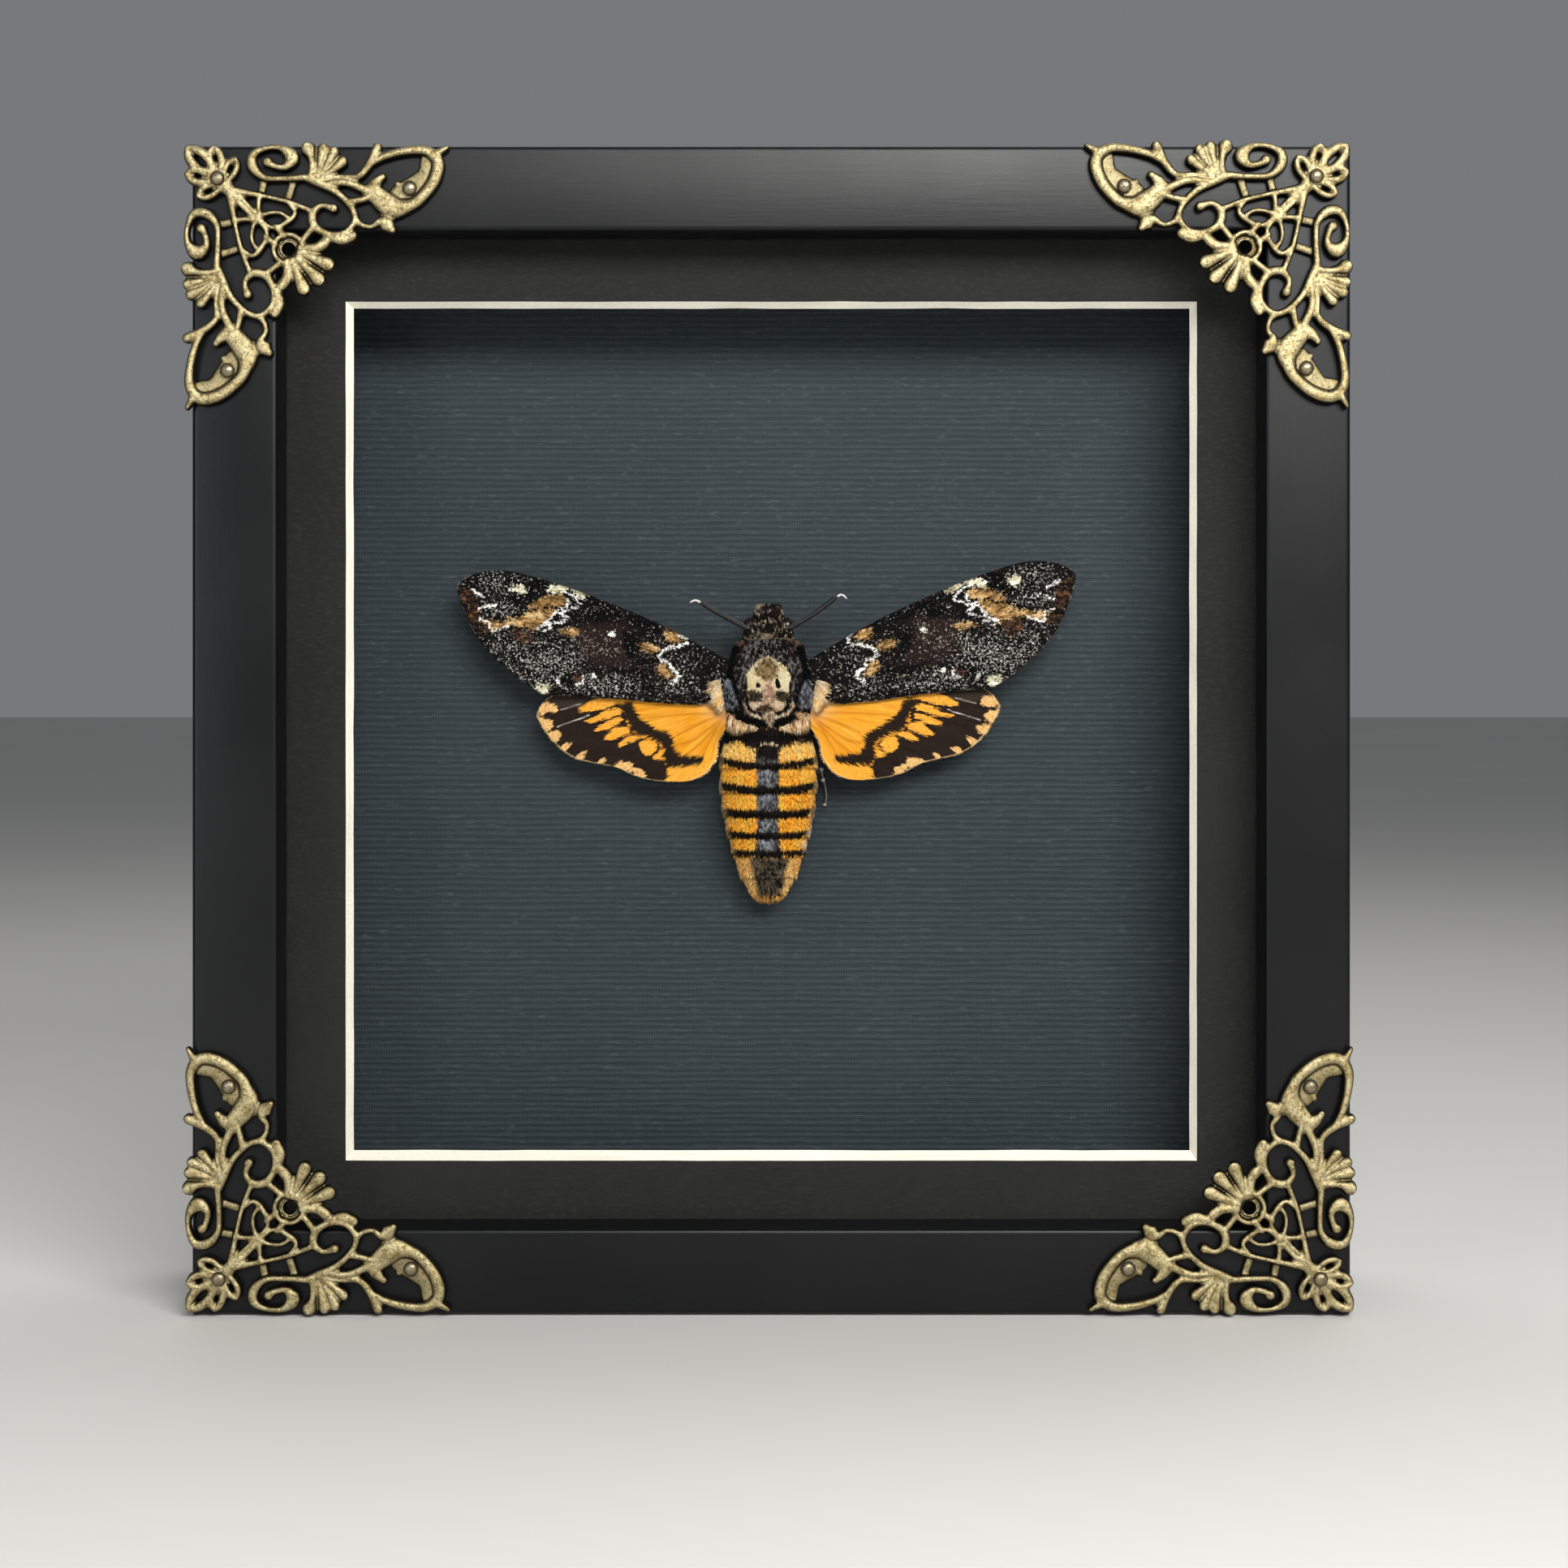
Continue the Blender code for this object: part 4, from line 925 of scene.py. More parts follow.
HIND_WING = {
    "front": [(8.0, 4.4), (16.0, 5.2), (24.0, 5.4), (29.0, 4.6), (32.2, 2.9)],
    "margin": [(32.2, 2.9), (33.7, .9), (33.5, -1.2), (30.7, -5.2), (26.6, -8.1),
               (19.5, -9.6), (14.7, -11.6), (8.8, -12.3), (5.4, -12.0)],
    "rear": [(.5, -5.0), (.9, -8.0), (2.9, -10.8), (5.4, -12.0)],
    "root_edge": [(-.8, 2.0), (-.9, .5), (-1.1, -.8), (-1.3, -2.0)],
    "veins": [(.12, 0.0), (.26, .2), (.33, .45), (.40, .2), (.47, .45),
              (.54, .2), (.61, .4), (.68, .1), (.76, .1), (.84, 0.0)],
    "level": (8.6, 6.8), "root": (8.7, -7.5), "grid": (150, 96), "vein_height": .13,
}
WING_ARCH = .5
WING_THICKNESS = .22
RIGHT_WING_TURN = math.radians(2.4)


def wing_grid(wing):
    """Places (out, up) over a wing, with each one's shares out and back."""
    front = curve_through([wing["root_edge"][0]] + wing["front"])
    rear = curve_through([wing["root_edge"][-1]] + wing["rear"])
    margin = curve_through(wing["margin"])
    root = curve_through(wing["root_edge"])
    rows, columns = wing["grid"]
    out = np.linspace(0, 1, rows)
    back = np.linspace(0, 1, columns)
    u, v = np.meshgrid(out, back, indexing="ij")
    across = at_share(front, out)[:, None] * (1 - v[..., None])
    across = across + at_share(rear, out)[:, None] * v[..., None]
    along = at_share(root, back)[None] * (1 - u[..., None])
    along = along + at_share(margin, back)[None] * u[..., None]
    near = front[0] * (1 - v[..., None]) + rear[0] * v[..., None]
    far = front[-1] * (1 - v[..., None]) + rear[-1] * v[..., None]
    places = across + along - near * (1 - u[..., None]) - far * u[..., None]
    return places.reshape(-1, 2), u.ravel(), v.ravel()


def wing_levels(wing, places, u, v):
    """Height above the card: a slope, a low arch, raised veins and faint waves."""
    span = max(x for x, _ in wing["margin"])
    share = (places[:, 0] / span).clip(0, 1)
    root, tip = wing["level"]
    level = root + (tip - root) * share + WING_ARCH * np.sin(math.pi * share)
    rows, columns = wing["grid"]
    grid = places.reshape(rows, columns, 2)
    chord = np.linalg.norm(grid[:, -1] - grid[:, 0], axis=1)
    chord = np.repeat(chord, columns)
    veins = np.zeros(len(places))
    for back, start in wing["veins"]:
        near = np.exp(-((v - back) * chord / .2) ** 2)
        grown = ((u - start) / .08).clip(0, 1)
        veins += near * grown * (1.1 - .7 * u)
    waves = np.sin(v * 41.0) * .05 * u + np.sin(u * 23.0 + v * 17.0) * .04
    edge = np.minimum(np.minimum(u, 1 - u) * span, np.minimum(v, 1 - v) * chord)
    return level + (veins * wing["vein_height"] + waves) * (edge / .5).clip(.25, 1)


def wing_places(wing, side, places, level):
    """Places in the moth's frame; the right wings are turned a little higher."""
    out, up = wing["root"]
    turn = -RIGHT_WING_TURN if side > 0 else 0.0
    x = side * places[:, 0]
    z = places[:, 1]
    across = side * out + x * math.cos(turn) + z * math.sin(turn)
    along = up - x * math.sin(turn) + z * math.cos(turn)
    return np.stack([across, along, level], axis=-1)


def wing_piece(name, wing, side, fields, material):
    """One wing: its grid, its marking fields, and its thickness."""
    places, u, v = wing_grid(wing)
    level = wing_levels(wing, places, u, v)
    rows, columns = wing["grid"]
    faces = grid_faces(rows, columns)
    if side > 0:
        faces = [face[::-1] for face in faces]
    placed = on_moth(*wing_places(wing, side, places, level).T)
    piece = new_piece(name, placed, faces, [material], [name])
    for field, values in fields(places, u, v).items():
        set_values(piece.data, field, values)
    grain = np.stack([places[:, 0], v * 20.0, np.full(len(u), side * 9.0)], axis=1)
    set_values(piece.data, "grain", grain, "FLOAT_VECTOR", "vector")
    skin = piece.modifiers.new("thickness", "SOLIDIFY")
    skin.thickness = WING_THICKNESS * MM
    skin.offset = -1
    return piece


# %% [markdown]
# ### The forewing's markings
#
# The forewing looks like lichen on bark: almost black, frosted all over
# with tiny pale scribbles, with tan streaks, white zigzag lines and one
# white dot. The shapes were measured with a ruler on the wing and are
# listed by colour. `SOFT_SPOTS` says where the frost lies thickest.

# %% Outlines and strokes on the forewing, mm
FORE_PATCHES = {
    "cream": [(32,14.9, 31.7,16.2, 29.9,16.5, 27.8,16.2, 28.6,15.4, 29.9,15.1),
        (27.8,15.7, 26.6,15.7, 24.7,14.4, 25.8,14.1, 27.3,14.9),
        (38.8,15.7, 37.7,16.5, 36.4,16.2, 36.4,14.9, 37.7,15.1),
        (34.2,-2.4, 33.8,-1.6, 32,-1.8, 31.8,-2.6, 32.6,-3.5, 33.8,-3)],
    "tan": [(35.7,12.5, 33.8,13.8, 31.2,14.6, 28.6,14.4, 28.4,13.3, 29.9,12.6, 32.5,12.6, 34.7,12),
        (44.1,9.9, 40.9,9.9, 38,10.4, 35.4,11.5, 33.1,11.8, 31.2,12.2, 30.2,11.5, 31.8,10.4, 33.1,9.1,
         34.7,8.1, 36.4,8.9, 39.6,8.9, 41.9,8.1, 42.7,7.8, 42.8,9.1),
        (15.3,5.5, 13.7,5.8, 11.6,4.9, 12,4.1, 14,4.2),
        (10.9,8.1, 9.6,8.1, 7.3,6.8, 7.7,6.2, 9.5,6, 10.3,6.8),
        (12,1.6, 11.1,2.1, 9.9,1.6, 9.5,.3, 9,-.6, 10.4,-.6, 11.7,.8),
        (29.9,8.3, 27.3,8.6, 25.9,8.1, 26.8,7.3, 29.2,7.5)],
    "rust": [(45.9,8.1, 45.4,9.4, 42.8,9.9, 42.7,8, 45.1,7.8),
        (48.4,15.6, 46.1,14.9, 45.1,12.7, 44.5,10.7, 45.8,9.7, 47.4,11.7),
        (27.5,-.2, 25.5,-.3, 25.5,-1.3, 26.6,-1.7, 27.3,-1.1),
        (38.6,8.3, 36.4,8.6, 35.1,7.1, 35.7,5.8, 38,6.5)],
    "black": [(25,14.6, 21.4,12.9, 10.4,8.5, 5.6,6, 3.9,4.7, 4.9,4.2, 11.1,7.1, 16.9,9.6, 21.4,11.5,
         24.7,13.4),
        (24.7,11.4, 21.8,12, 20.2,11, 20.8,9.9, 23.7,9.9),
        (18.2,8.1, 15.6,7.1, 15,4.9, 16.9,2.9, 18.2,5.5),
        (29.9,-.1, 27.9,.3, 26.6,.3, 27.2,-1, 27.6,-2.3, 29.2,-1.6),
        (21.4,1.6, 18.2,1, 15.6,1, 14.3,0, 14.6,-2.9, 15.6,.3, 18.9,.3),
        (35.1,17.2, 31.8,16.9, 32.5,14.6, 35.4,13.3, 40,13.9, 36,15),
        (34,12.5, 30.5,13.1, 36.8,12.2, 37.9,11, 41,10.2, 37,10.6)],
    "purple": [(26.6,8.4, 21.4,9.7, 16.9,8.1, 16.9,1, 22.7,1.6, 26,3.6)],
}
FORE_STROKES = {
    "white": [(.32, 28.6,15.4, 27,14.1, 26.1,12.8, 27.9,12, 29.9,11.4, 28.3,10.4, 29.9,9.6, 32.5,9.2,
         33.8,8.3),
        (.3, 28.3,13.8, 28.6,12.5, 30.5,11.7, 31.2,10.5, 34.1,8.4),
        (.28, 31.2,8.9, 32.5,8, 33.1,7.8),
        (.4, 45.9,15.5, 44.8,14.9, 43.6,14.3),
        (.34, 44.6,12.2, 43.2,12.6, 41.5,12.8),
        (.95, 20.4,7.5, 20.2,7.45),
        (.42, 7.5,7.1, 6.4,6.8, 6.4,6, 7.3,5.2, 9.3,5.1, 10.6,4.5, 11.6,3.4, 11.2,2.6, 9.9,2.4, 9.1,1.1,
         7.8,-.2, 9,-1.8),
        (.45, 30.4,-1, 29.9,-1.6),
        (.32, 44.4,10.2, 42.8,9.6, 42.9,8.6),
        (.32, 42.4,7.9, 41.2,8.4, 39.4,8.9),
        (.5, 26.6,-1.75, 25.6,-1.4, 25.4,-.6),
        (.5, 23.7,-.1, 23.5,-.3)],
    "line_gap": [(.4, 29.2,15, 27.6,13.7, 27,12.9, 28.9,12.3, 30.6,11.3, 29.6,10.5, 31.3,10.1, 33.2,9),
        (.5, 27.4,15, 26,13.9, 25,12.6, 26.9,11.6, 28.6,11.2, 27,10.2, 28.7,9.2, 31.2,8.6, 32.9,7.4),
        (.3, 31,9.3, 32.8,8.6, 33.9,7.7)],
}
SOFT_SPOTS = [
    (33.0, 2.0, 9.0, 5.5, .95), (22.0, -2.0, 9.0, 2.6, .85), (9.0, -2.6, 5.5, 2.2, .7),
    (41.5, 16.6, 6.0, 2.6, .75), (40.4, 12.2, 3.6, 1.6, 1.0), (27.0, 5.0, 5.0, 2.6, .7),
    (7.0, 2.6, 4.5, 3.0, .45), (21.5, 5.4, 4.5, 3.4, .34), (40.0, 5.5, 4.0, 4.0, .7),
    (24.0, 11.5, 4.0, 1.6, .42), (13.0, 4.0, 3.0, 4.0, .3),
]


def fore_fields(places, u, v):
    """The forewing's fields; the frost is thickest in the soft spots."""
    fields = {name: patch_field(places, outlines) for name, outlines in FORE_PATCHES.items()}
    for name, strokes in FORE_STROKES.items():
        fields[name] = stroke_field(places, strokes)
    frost = np.zeros(len(places))
    for x, y, wide, high, strength in SOFT_SPOTS:
        far = ((places[:, 0] - x) / wide) ** 2 + ((places[:, 1] - y) / high) ** 2
        frost = np.maximum(frost, strength * np.exp(-far))
    bare = (fields["black"] / .5).clip(0, 1)
    fields["frost"] = frost * (1 - .9 * bare) + .12
    fields["rim"] = np.minimum(np.minimum(v, 1 - v) * 16, (1 - u) * 48)
    return fields


# %% [markdown]
# ### Layers of scales
#
# The finish is painted in layers, from the dark ground to the white lines.
# Three noises do the fine work. One stretched along the veins frays the
# edges, together with a finer one. A twisted one makes the pale scribbles,
# more of them where the frost field is high, and they stand out a little.
# A last one leaves dark pits in every pale patch.

# %% Nodes shared by both wing finishes
def field(finish, name):
    return finish.add("Attribute", attribute_name=name).outputs["Fac"]


def grain_place(finish, stretch):
    """The vein-wise place on a wing, stretched."""
    vector = finish.add("Attribute", attribute_name="grain").outputs["Vector"]
    return finish.add("Mapping", {"Vector": vector, "Scale": stretch}).outputs[0]


def frayed(finish, name, fray, ragged, soft=.06):
    """1 inside a marking and 0 outside, with an edge frayed by a noise."""
    shifted = finish.plus(field(finish, name), finish.times(finish.minus(fray, .5), ragged))
    return finish.band(shifted, -soft, soft)


# %% The forewing's finish: ground and scribbles
fw = Finish("forewing_scales", Roughness=.75, Specular_IOR_Level=.02)
place = fw.in_mm()
grain = fw.noise(grain_place(fw, (.7, 1.9, 1)), 1, 5, .75)
tear = fw.noise(place, 2.3, 3, .6)
fray = fw.times(fw.plus(grain, tear), .5)
fine = fw.noise(place, 4.4, 2, .6)
mottle = fw.noise(grain_place(fw, (.6, 1.2, 1)), .7, 4, .65)
frost_here = fw.plus(field(fw, "frost"), fw.times(fw.minus(mottle, .5), .9))
worms = fw.noise(place, 2.7, 1.8, .55, .8)
worms = fw.plus(worms, fw.times(frost_here, .13))
scribble = fw.band(worms, .66, .7)

ground = fw.mix(fw.band(mottle, .35, .65), (5, 4, 4), (22, 16, 14))
purple = fw.times(frayed(fw, "purple", fray, 4, .8), .7)
ground = fw.mix(purple, ground, (40, 28, 26))
ground = fw.mix(frayed(fw, "black", fray, 3.4, .2), ground, (6, 5, 5))
frost_tone = fw.mix(fw.band(fine, .36, .62), (78, 75, 71), (210, 207, 199))
frost_tone = fw.mix(fw.times(purple, .7), frost_tone, (134, 108, 96))
painted = fw.mix(scribble, ground, frost_tone)

# %% The forewing's finish: patches and lines over the ground
pits = fw.band(fw.noise(place, 2.6, 2, .6, .6), .565, .62)
streaks = fw.noise(grain_place(fw, (.5, 3.4, 1)), 1, 3, .6)
tan_tone = fw.mix(fw.band(streaks, .36, .62), (92, 56, 26), (220, 172, 104))
tan_tone = fw.mix(fw.band(mottle, .5, .72, 0, .8), tan_tone, (236, 216, 172))
tan_tone = fw.mix(fw.times(pits, .75), tan_tone, (54, 35, 24))
rust_tone = fw.mix(fw.band(grain, .48, .64), (30, 19, 14), (128, 88, 58))
rust_tone = fw.mix(fw.times(pits, .8), rust_tone, (20, 13, 11))
cream_tone = fw.mix(fw.band(mottle, .4, .6), (206, 200, 160), (250, 243, 224))
cream_tone = fw.mix(fw.times(pits, .85), cream_tone, (96, 84, 58))
white_tone = fw.mix(fw.times(pits, .8), (250, 247, 240), (66, 54, 46))
for mark, ragged, soft, thin, tone in (("rust", 6.5, .3, .25, rust_tone),
                                       ("tan", 6.0, .16, .35, tan_tone), ("line_gap", 2.0, .06, 1.0,
                                                                          (12, 9, 9)),
                                       ("cream", 6.5, .1, .6, cream_tone),
                                       ("white", 3.4, .07, .55, white_tone)):
    laid = fw.times(frayed(fw, mark, fray, ragged, soft), fw.band(mottle, .38, .54, thin, 1))
    painted = fw.mix(laid, painted, tone)
rim = fw.band(field(fw, "rim"), .1, .5, .7, 0)
painted = fw.mix(fw.times(rim, fw.band(tear, .4, .6)), painted, (14, 11, 11))
fw.give("Base Color", painted)
fw.give("Roughness", fw.band(scribble, 0, 1, .66, .82))
fw.relief(fw.plus(fw.times(scribble, .6), fine), .09, .9)

for side, name in SIDES:
    wing_piece("moth_fore_wing_" + name, FORE_WING, side, fore_fields, fw)
print("forewings made, grid of", FORE_WING["grid"])

# %% [markdown]
# ### The hindwing's markings
#
# The hindwing is orange-yellow. A dark band with a toothed inner side runs
# from the front edge towards the rear corner, and the outer third is dark
# brown, cut by yellow wedges between the veins and by peach spots along
# the margin. The rear corner is yellow again.

# %% Outlines and strokes on the hindwing, mm
HIND_PATCHES = {
    "outer": [(36,5, 22,3.9, 19.6,2.6, 17.9,1.2, 17.2,-.6, 17.4,-1.9, 16.2,-3.1, 14.6,-4.2, 11.4,-5.3,
         10.6,-6.9, 10.4,-8.6, 10,-9.6, 10,-11.4, 9.8,-13.5, 36,-13.5)],
    "wedge": [(26.4,.9, 24.5,2.3, 21.8,3.1, 19.4,2.9, 18.5,2.3, 20.8,1.4, 23.8,.6),
        (25.2,-1.2, 23.3,-.4, 20.8,.9, 18.6,1.3, 17.9,.7, 19.3,-.1, 21.8,-.9, 24,-1.4),
        (23.4,-2.9, 22.2,-1.9, 19.8,-.8, 18.3,-.5, 18.3,-1.2, 20.8,-2.6),
        (21.9,-4.6, 20.8,-3.6, 19.6,-2.4, 17.8,-2.2, 16.8,-2.7, 17,-3.5, 18.6,-4, 19.8,-4.7),
        (18.8,-5.7, 17.8,-4.4, 16.6,-3.7, 15.1,-3.9, 14.8,-4.5, 15.8,-4.8, 17.6,-5.5),
        (14.8,-4.9, 13.2,-4.7, 11.7,-5.6, 12.1,-6.8, 13.6,-7.6, 14.8,-6.6),
        (12.9,-8.2, 11.7,-7, 10.9,-6.4, 10.5,-8.2, 11.4,-8.5),
        (10.3,-12.6, 10.1,-10.4, 8.9,-9.8, 5.9,-9.7, 2.7,-8.9, 0,-7.4, .6,-9.5, 2.7,-12, 6,-13)],
    "dark": [(19.4,2, 16.8,2.3, 15.8,.9, 14.8,-.5, 13.4,-1.5, 11.9,-2.6, 10.1,-3.3, 8.8,-4.4, 8.7,-6, 8,-7,
         5.9,-7.5, 3.6,-7.6, 3,-8.3, 3.5,-9.1, 5.9,-9.6, 8.9,-9.7, 9.9,-9.6, 10.7,-8.6, 10.7,-6.9,
         10.9,-5.6, 12.9,-4.4, 14.8,-3.8, 16.6,-3.1, 16.8,-1.9, 17.7,-.4, 18.4,.9),
        (14.6,-7.9, 10.1,-8.9, 10,-10.4, 10.1,-11.9, 12.9,-12, 14.4,-11.1)],
    "peach": [(33.6,1.2, 32.7,2.1, 31,2, 30.3,.7, 32,.3, 33.6,.2),
        (34,-.7, 31.5,-.9, 31.1,-2.3, 32.9,-2.9),
        (32.4,-3.9, 31.5,-3.1, 29.6,-3.3, 29.8,-4.3, 31,-5.1),
        (29.8,-6.3, 29,-5.6, 27.7,-5.3, 28.3,-6.5, 28.8,-7.2),
        (26.8,-8.2, 26.1,-7, 24.6,-6.8, 25.2,-7.9, 26.1,-8.4),
        (22.9,-9.2, 22.3,-8.1, 21.2,-8.1, 21.8,-9),
        (19.9,-9.7, 18.3,-8.8, 16.5,-8.9, 16.2,-10, 17.8,-10.4),
        (16.5,-10.2, 15.1,-9.8, 13.8,-11.2, 15.1,-11.6)],
    "grey": [(33,3.4, 29.5,4.8, 25.8,5.2, 21.8,3.6, 23.8,2.9, 25.8,1.6, 29.5,1.1, 31.2,1.3)],
}
HIND_STROKES = {
    "pale_vein": [(.28, 29.7,.9, 27.6,1.5, 25.8,1.9),
        (.28, 30.2,-2.3, 27.2,-1.2, 24.3,-.1)],
    # Painted fold shade: darker strokes where the wing folds near its root
    "painted_fold_shade": [(.5, -.8,.1, 3.4,-1.4, 7.9,-3.7),
        (.5, -.8,-.2, 4.7,-4.4, 8.2,-5.6),
        (.45, -.5,-.7, 3.4,-4.9, 6.4,-7.5),
        (.4, -.3,.3, 5.9,.1, 13.4,-.6),
        (.35, .2,-1.4, 1.9,-4.4, 3.4,-7.4)],
}


def hind_fields(places, u, v):
    """The hindwing's fields, and how near a place is to the pale root."""
    fields = {name: patch_field(places, outlines, name != "outer") for name,
              outlines in HIND_PATCHES.items()}
    for name, strokes in HIND_STROKES.items():
        fields[name] = stroke_field(places, strokes)
    tail = ((places[:, 0] - 1.0) / 8.0).clip(0, 1)
    fields["dark"] = fields["dark"] - .15 * (1 - tail)
    fields["rim"] = np.minimum(np.minimum(v, 1 - v) * 14, (1 - u) * 34)
    fields["root_pale"] = np.exp(-((places[:, 0] + .4) / 3.0) ** 2 - ((places[:, 1] - 2.6) / 2.6) ** 2)
    return fields


# %% The hindwing's finish
hw = Finish("hindwing_scales", Roughness=.72, Specular_IOR_Level=.04)
place = hw.in_mm()
fray = hw.noise(grain_place(hw, (.45, 2.6, 1)), 1, 5, .8)
streak = hw.noise(grain_place(hw, (.12, 3, 1)), 1, 4, .7)
fine = hw.noise(place, 4.5, 3, .7)
cloud = hw.noise(place, .22, 2)
yellow = hw.mix(hw.band(streak, .35, .65), (202, 120, 12), (238, 172, 46))
yellow = hw.mix(hw.band(cloud, .4, .7, 0, .3), yellow, (246, 190, 90))
yellow = hw.mix(hw.band(fine, .56, .72, 0, .35), yellow, (196, 116, 20))
# Painted shade of the folds near the root, a darker orange
yellow = hw.mix(hw.times(frayed(hw, "painted_fold_shade", streak, 1.2, .15), .6), yellow, (184, 104, 14))
brown = hw.mix(hw.band(fray, .35, .7), (24, 16, 13), (46, 34, 27))
brown = hw.mix(hw.band(fine, .6, .72, 0, .5), brown, (84, 70, 60))
wing_tone = hw.mix(frayed(hw, "outer", fray, 3.2), yellow, brown)
wedge_tone = hw.mix(hw.band(fine, .42, .66), (248, 178, 66), (196, 122, 34))
wing_tone = hw.mix(frayed(hw, "wedge", fray, 2.6), wing_tone, wedge_tone)
dark_tone = hw.mix(hw.band(fray, .4, .7), (22, 15, 12), (48, 35, 26))
wing_tone = hw.mix(frayed(hw, "dark", fray, 4.4, .24), wing_tone, dark_tone)
wing_tone = hw.mix(frayed(hw, "grey", fray, 2.6, .3), wing_tone, (50, 42, 35))
peach_tone = hw.mix(hw.band(fine, .4, .66), (250, 200, 128), (150, 110, 66))
wing_tone = hw.mix(frayed(hw, "peach", fray, 2.8), wing_tone, peach_tone)
rim = hw.times(hw.band(field(hw, "rim"), .08, .32, .75, 0), hw.band(fine, .4, .55))
wing_tone = hw.mix(rim, wing_tone, (236, 204, 148))
wing_tone = hw.mix(hw.times(frayed(hw, "pale_vein", fine, .2), .8), wing_tone, (206, 196, 186))
wing_tone = hw.mix(hw.times(field(hw, "root_pale"), .7), wing_tone, (240, 212, 176))
hw.give("Base Color", wing_tone)
hw.give("Roughness", hw.band(fine, .3, .7, .58, .76))
hw.relief(hw.plus(hw.times(streak, .7), fine), .08, .9)

for side, name in SIDES:
    wing_piece("moth_hind_wing_" + name, HIND_WING, side, hind_fields, hw)
print("hindwings made, grid of", HIND_WING["grid"])

# %% [markdown]
# ## The body's skin
#
# Head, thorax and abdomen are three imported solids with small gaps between
# them. In life one skin covers them all, so one mesh replaces all three.
# It is a stack of rings from the snout to the tail, each ring an oval
# with its own width, underside and top. It stays a coat's depth inside
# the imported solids, because the fur grows outwards from it. A shape laid
# on top gives the collar, the shoulder lobes and the steps of the rings.

# %% Rings of the body: (along, half width, lowest, highest), mm
BODY_RINGS = [
    (12.55, .1, 7.2, 7.6), (12.5, 1.3, 6.2, 8.8), (12.3, 2.1, 5.6, 9.7), (11.6, 2.5, 4.9, 10.5),
    (10.6, 2.75, 4.3, 11.4), (9.6, 3.15, 3.9, 12), (8.7, 3.9, 3.6, 12.4), (7.8, 4.35, 3.4, 12.6),
    (6.9, 4.75, 3.2, 12.6), (6.2, 5.25, 2.9, 13.1), (5.2, 6.2, 2.1, 14), (3.9, 6.7, 1.6, 14.6),
    (2.6, 7.1, 1.3, 14.9), (0, 7.6, .9, 15.1), (-2.8, 7.95, .8, 15), (-5.4, 7.8, .9, 14.5),
    (-7.8, 7.3, 1.2, 13.6), (-9.6, 7, 1.5, 12.9), (-11.2, 7.6, 1.2, 12.9), (-12.8, 8.2, 1, 13),
    (-16.3, 8.6, .8, 13.4), (-21, 8.6, .8, 13.4), (-25.8, 8.1, .9, 12.8), (-30.2, 7.1, 1.3, 11.6),
    (-34.3, 5.95, 2, 10.2), (-37.8, 4.75, 2.8, 8.8), (-39.6, 3.9, 3.4, 7.9), (-40.9, 3, 4, 7.2),
    (-41.6, 2.1, 4.5, 6.7), (-41.95, .15, 5.5, 5.7),
]
BODY_ROWS = 340
BODY_SIDES = 232
RING_LENGTH = 3.9
BAND_ENDS = [-17.6, -22.2, -26.5, -30.5, -34.0]

ring_table = np.array(BODY_RINGS)
depth_in = run_along(ring_table)
ring_path = curve_through(np.column_stack([depth_in, ring_table]), .1)
row_depth = np.linspace(0, depth_in[-1], BODY_ROWS)
body_along, body_half, body_low, body_high = [np.interp(row_depth, np.maximum.accumulate(ring_path[:, 0]),
                                                        ring_path[:, i]) for i in range(1, 5)]
body_half = np.maximum(body_half, .02)
print("body, mm long:", round(body_along[0] - body_along[-1], 1))


def ridge(value, middle, width):
    return np.exp(-((value - middle) / width) ** 2)


def body_swell(across, along, up):
    """What stands out from the plain ovals, in mm; up is 1 on top and -1 below."""
    above = up.clip(0, 1)
    swell = .45 * ridge(along, 5.2, .8) * above * (1 - .5 * ridge(across, 0, .7))
    swell -= .55 * ridge(along, 6.55, .5) * (.4 + .6 * above)
    swell -= .28 * ridge(along, 3.9, .45) * above
    lobe = patch_field(np.column_stack([across.ravel(), along.ravel()]),
                       [LOBE_LEFT, LOBE_RIGHT]).reshape(across.shape)
    swell += .55 * ((lobe + .4) / 1.0).clip(0, 1) * (up > -.3)
    swell -= .35 * ridge(across, 0, .45) * (along > 8.6) * above
    swell += .35 * ridge(np.abs(across), 1.5, .9) * ridge(along, 11.4, 1.3)
    swell -= .15 * ridge(along, -9.7, .6)
    for end in BAND_ENDS + [-38.0]:
        behind = along - end - .9
        on_ring = (behind >= 0) & (behind < RING_LENGTH)
        swell += np.where(on_ring, .34 * (1 - behind / RING_LENGTH), 0) - .05
    return swell


# %% [markdown]
# ## The markings of the body
#
# The skull-shaped mark on the thorax gives the moth its name: a cream
# patch with a brown brow, two dark eye spots, a pinkish nose and dark
# cheeks. Around it lie frosted purple-grey fur, two black stripes and a
# grey lobe at each shoulder. Skin and fur both ask the same function for
# their colour, so that the markings run through both.

# %% Outlines and strokes on the body, (across, along), mm
LOBE_LEFT = (-8,-1.4, -6.9,-1.2, -6.6,-2.5, -5.8,-4.6, -5.3,-5.9, -5.9,-6.7, -7.3,-6.5, -7.9,-4.4)
LOBE_RIGHT = (6.1,-2.5, 7.1,-1.2, 8,-2.2, 8.1,-4.4, 7.4,-6.2, 5.8,-6.3, 5.5,-4.8)
SKULL = (0,3.05, 1.4,2.4, 2.8,1.4, 3.8,.1, 4.05,-.9, 3.8,-2.5, 3.8,-4.4, 3.3,-5.3, 3,-6.4, 1.5,-6.9,
         0,-6.8, -1.8,-6.85, -3.1,-6.3, -3.5,-5.1, -3.9,-4.2, -3.9,-2.5, -4,-.7, -3.5,.4, -2.6,1.7,
         -1.4,2.7)
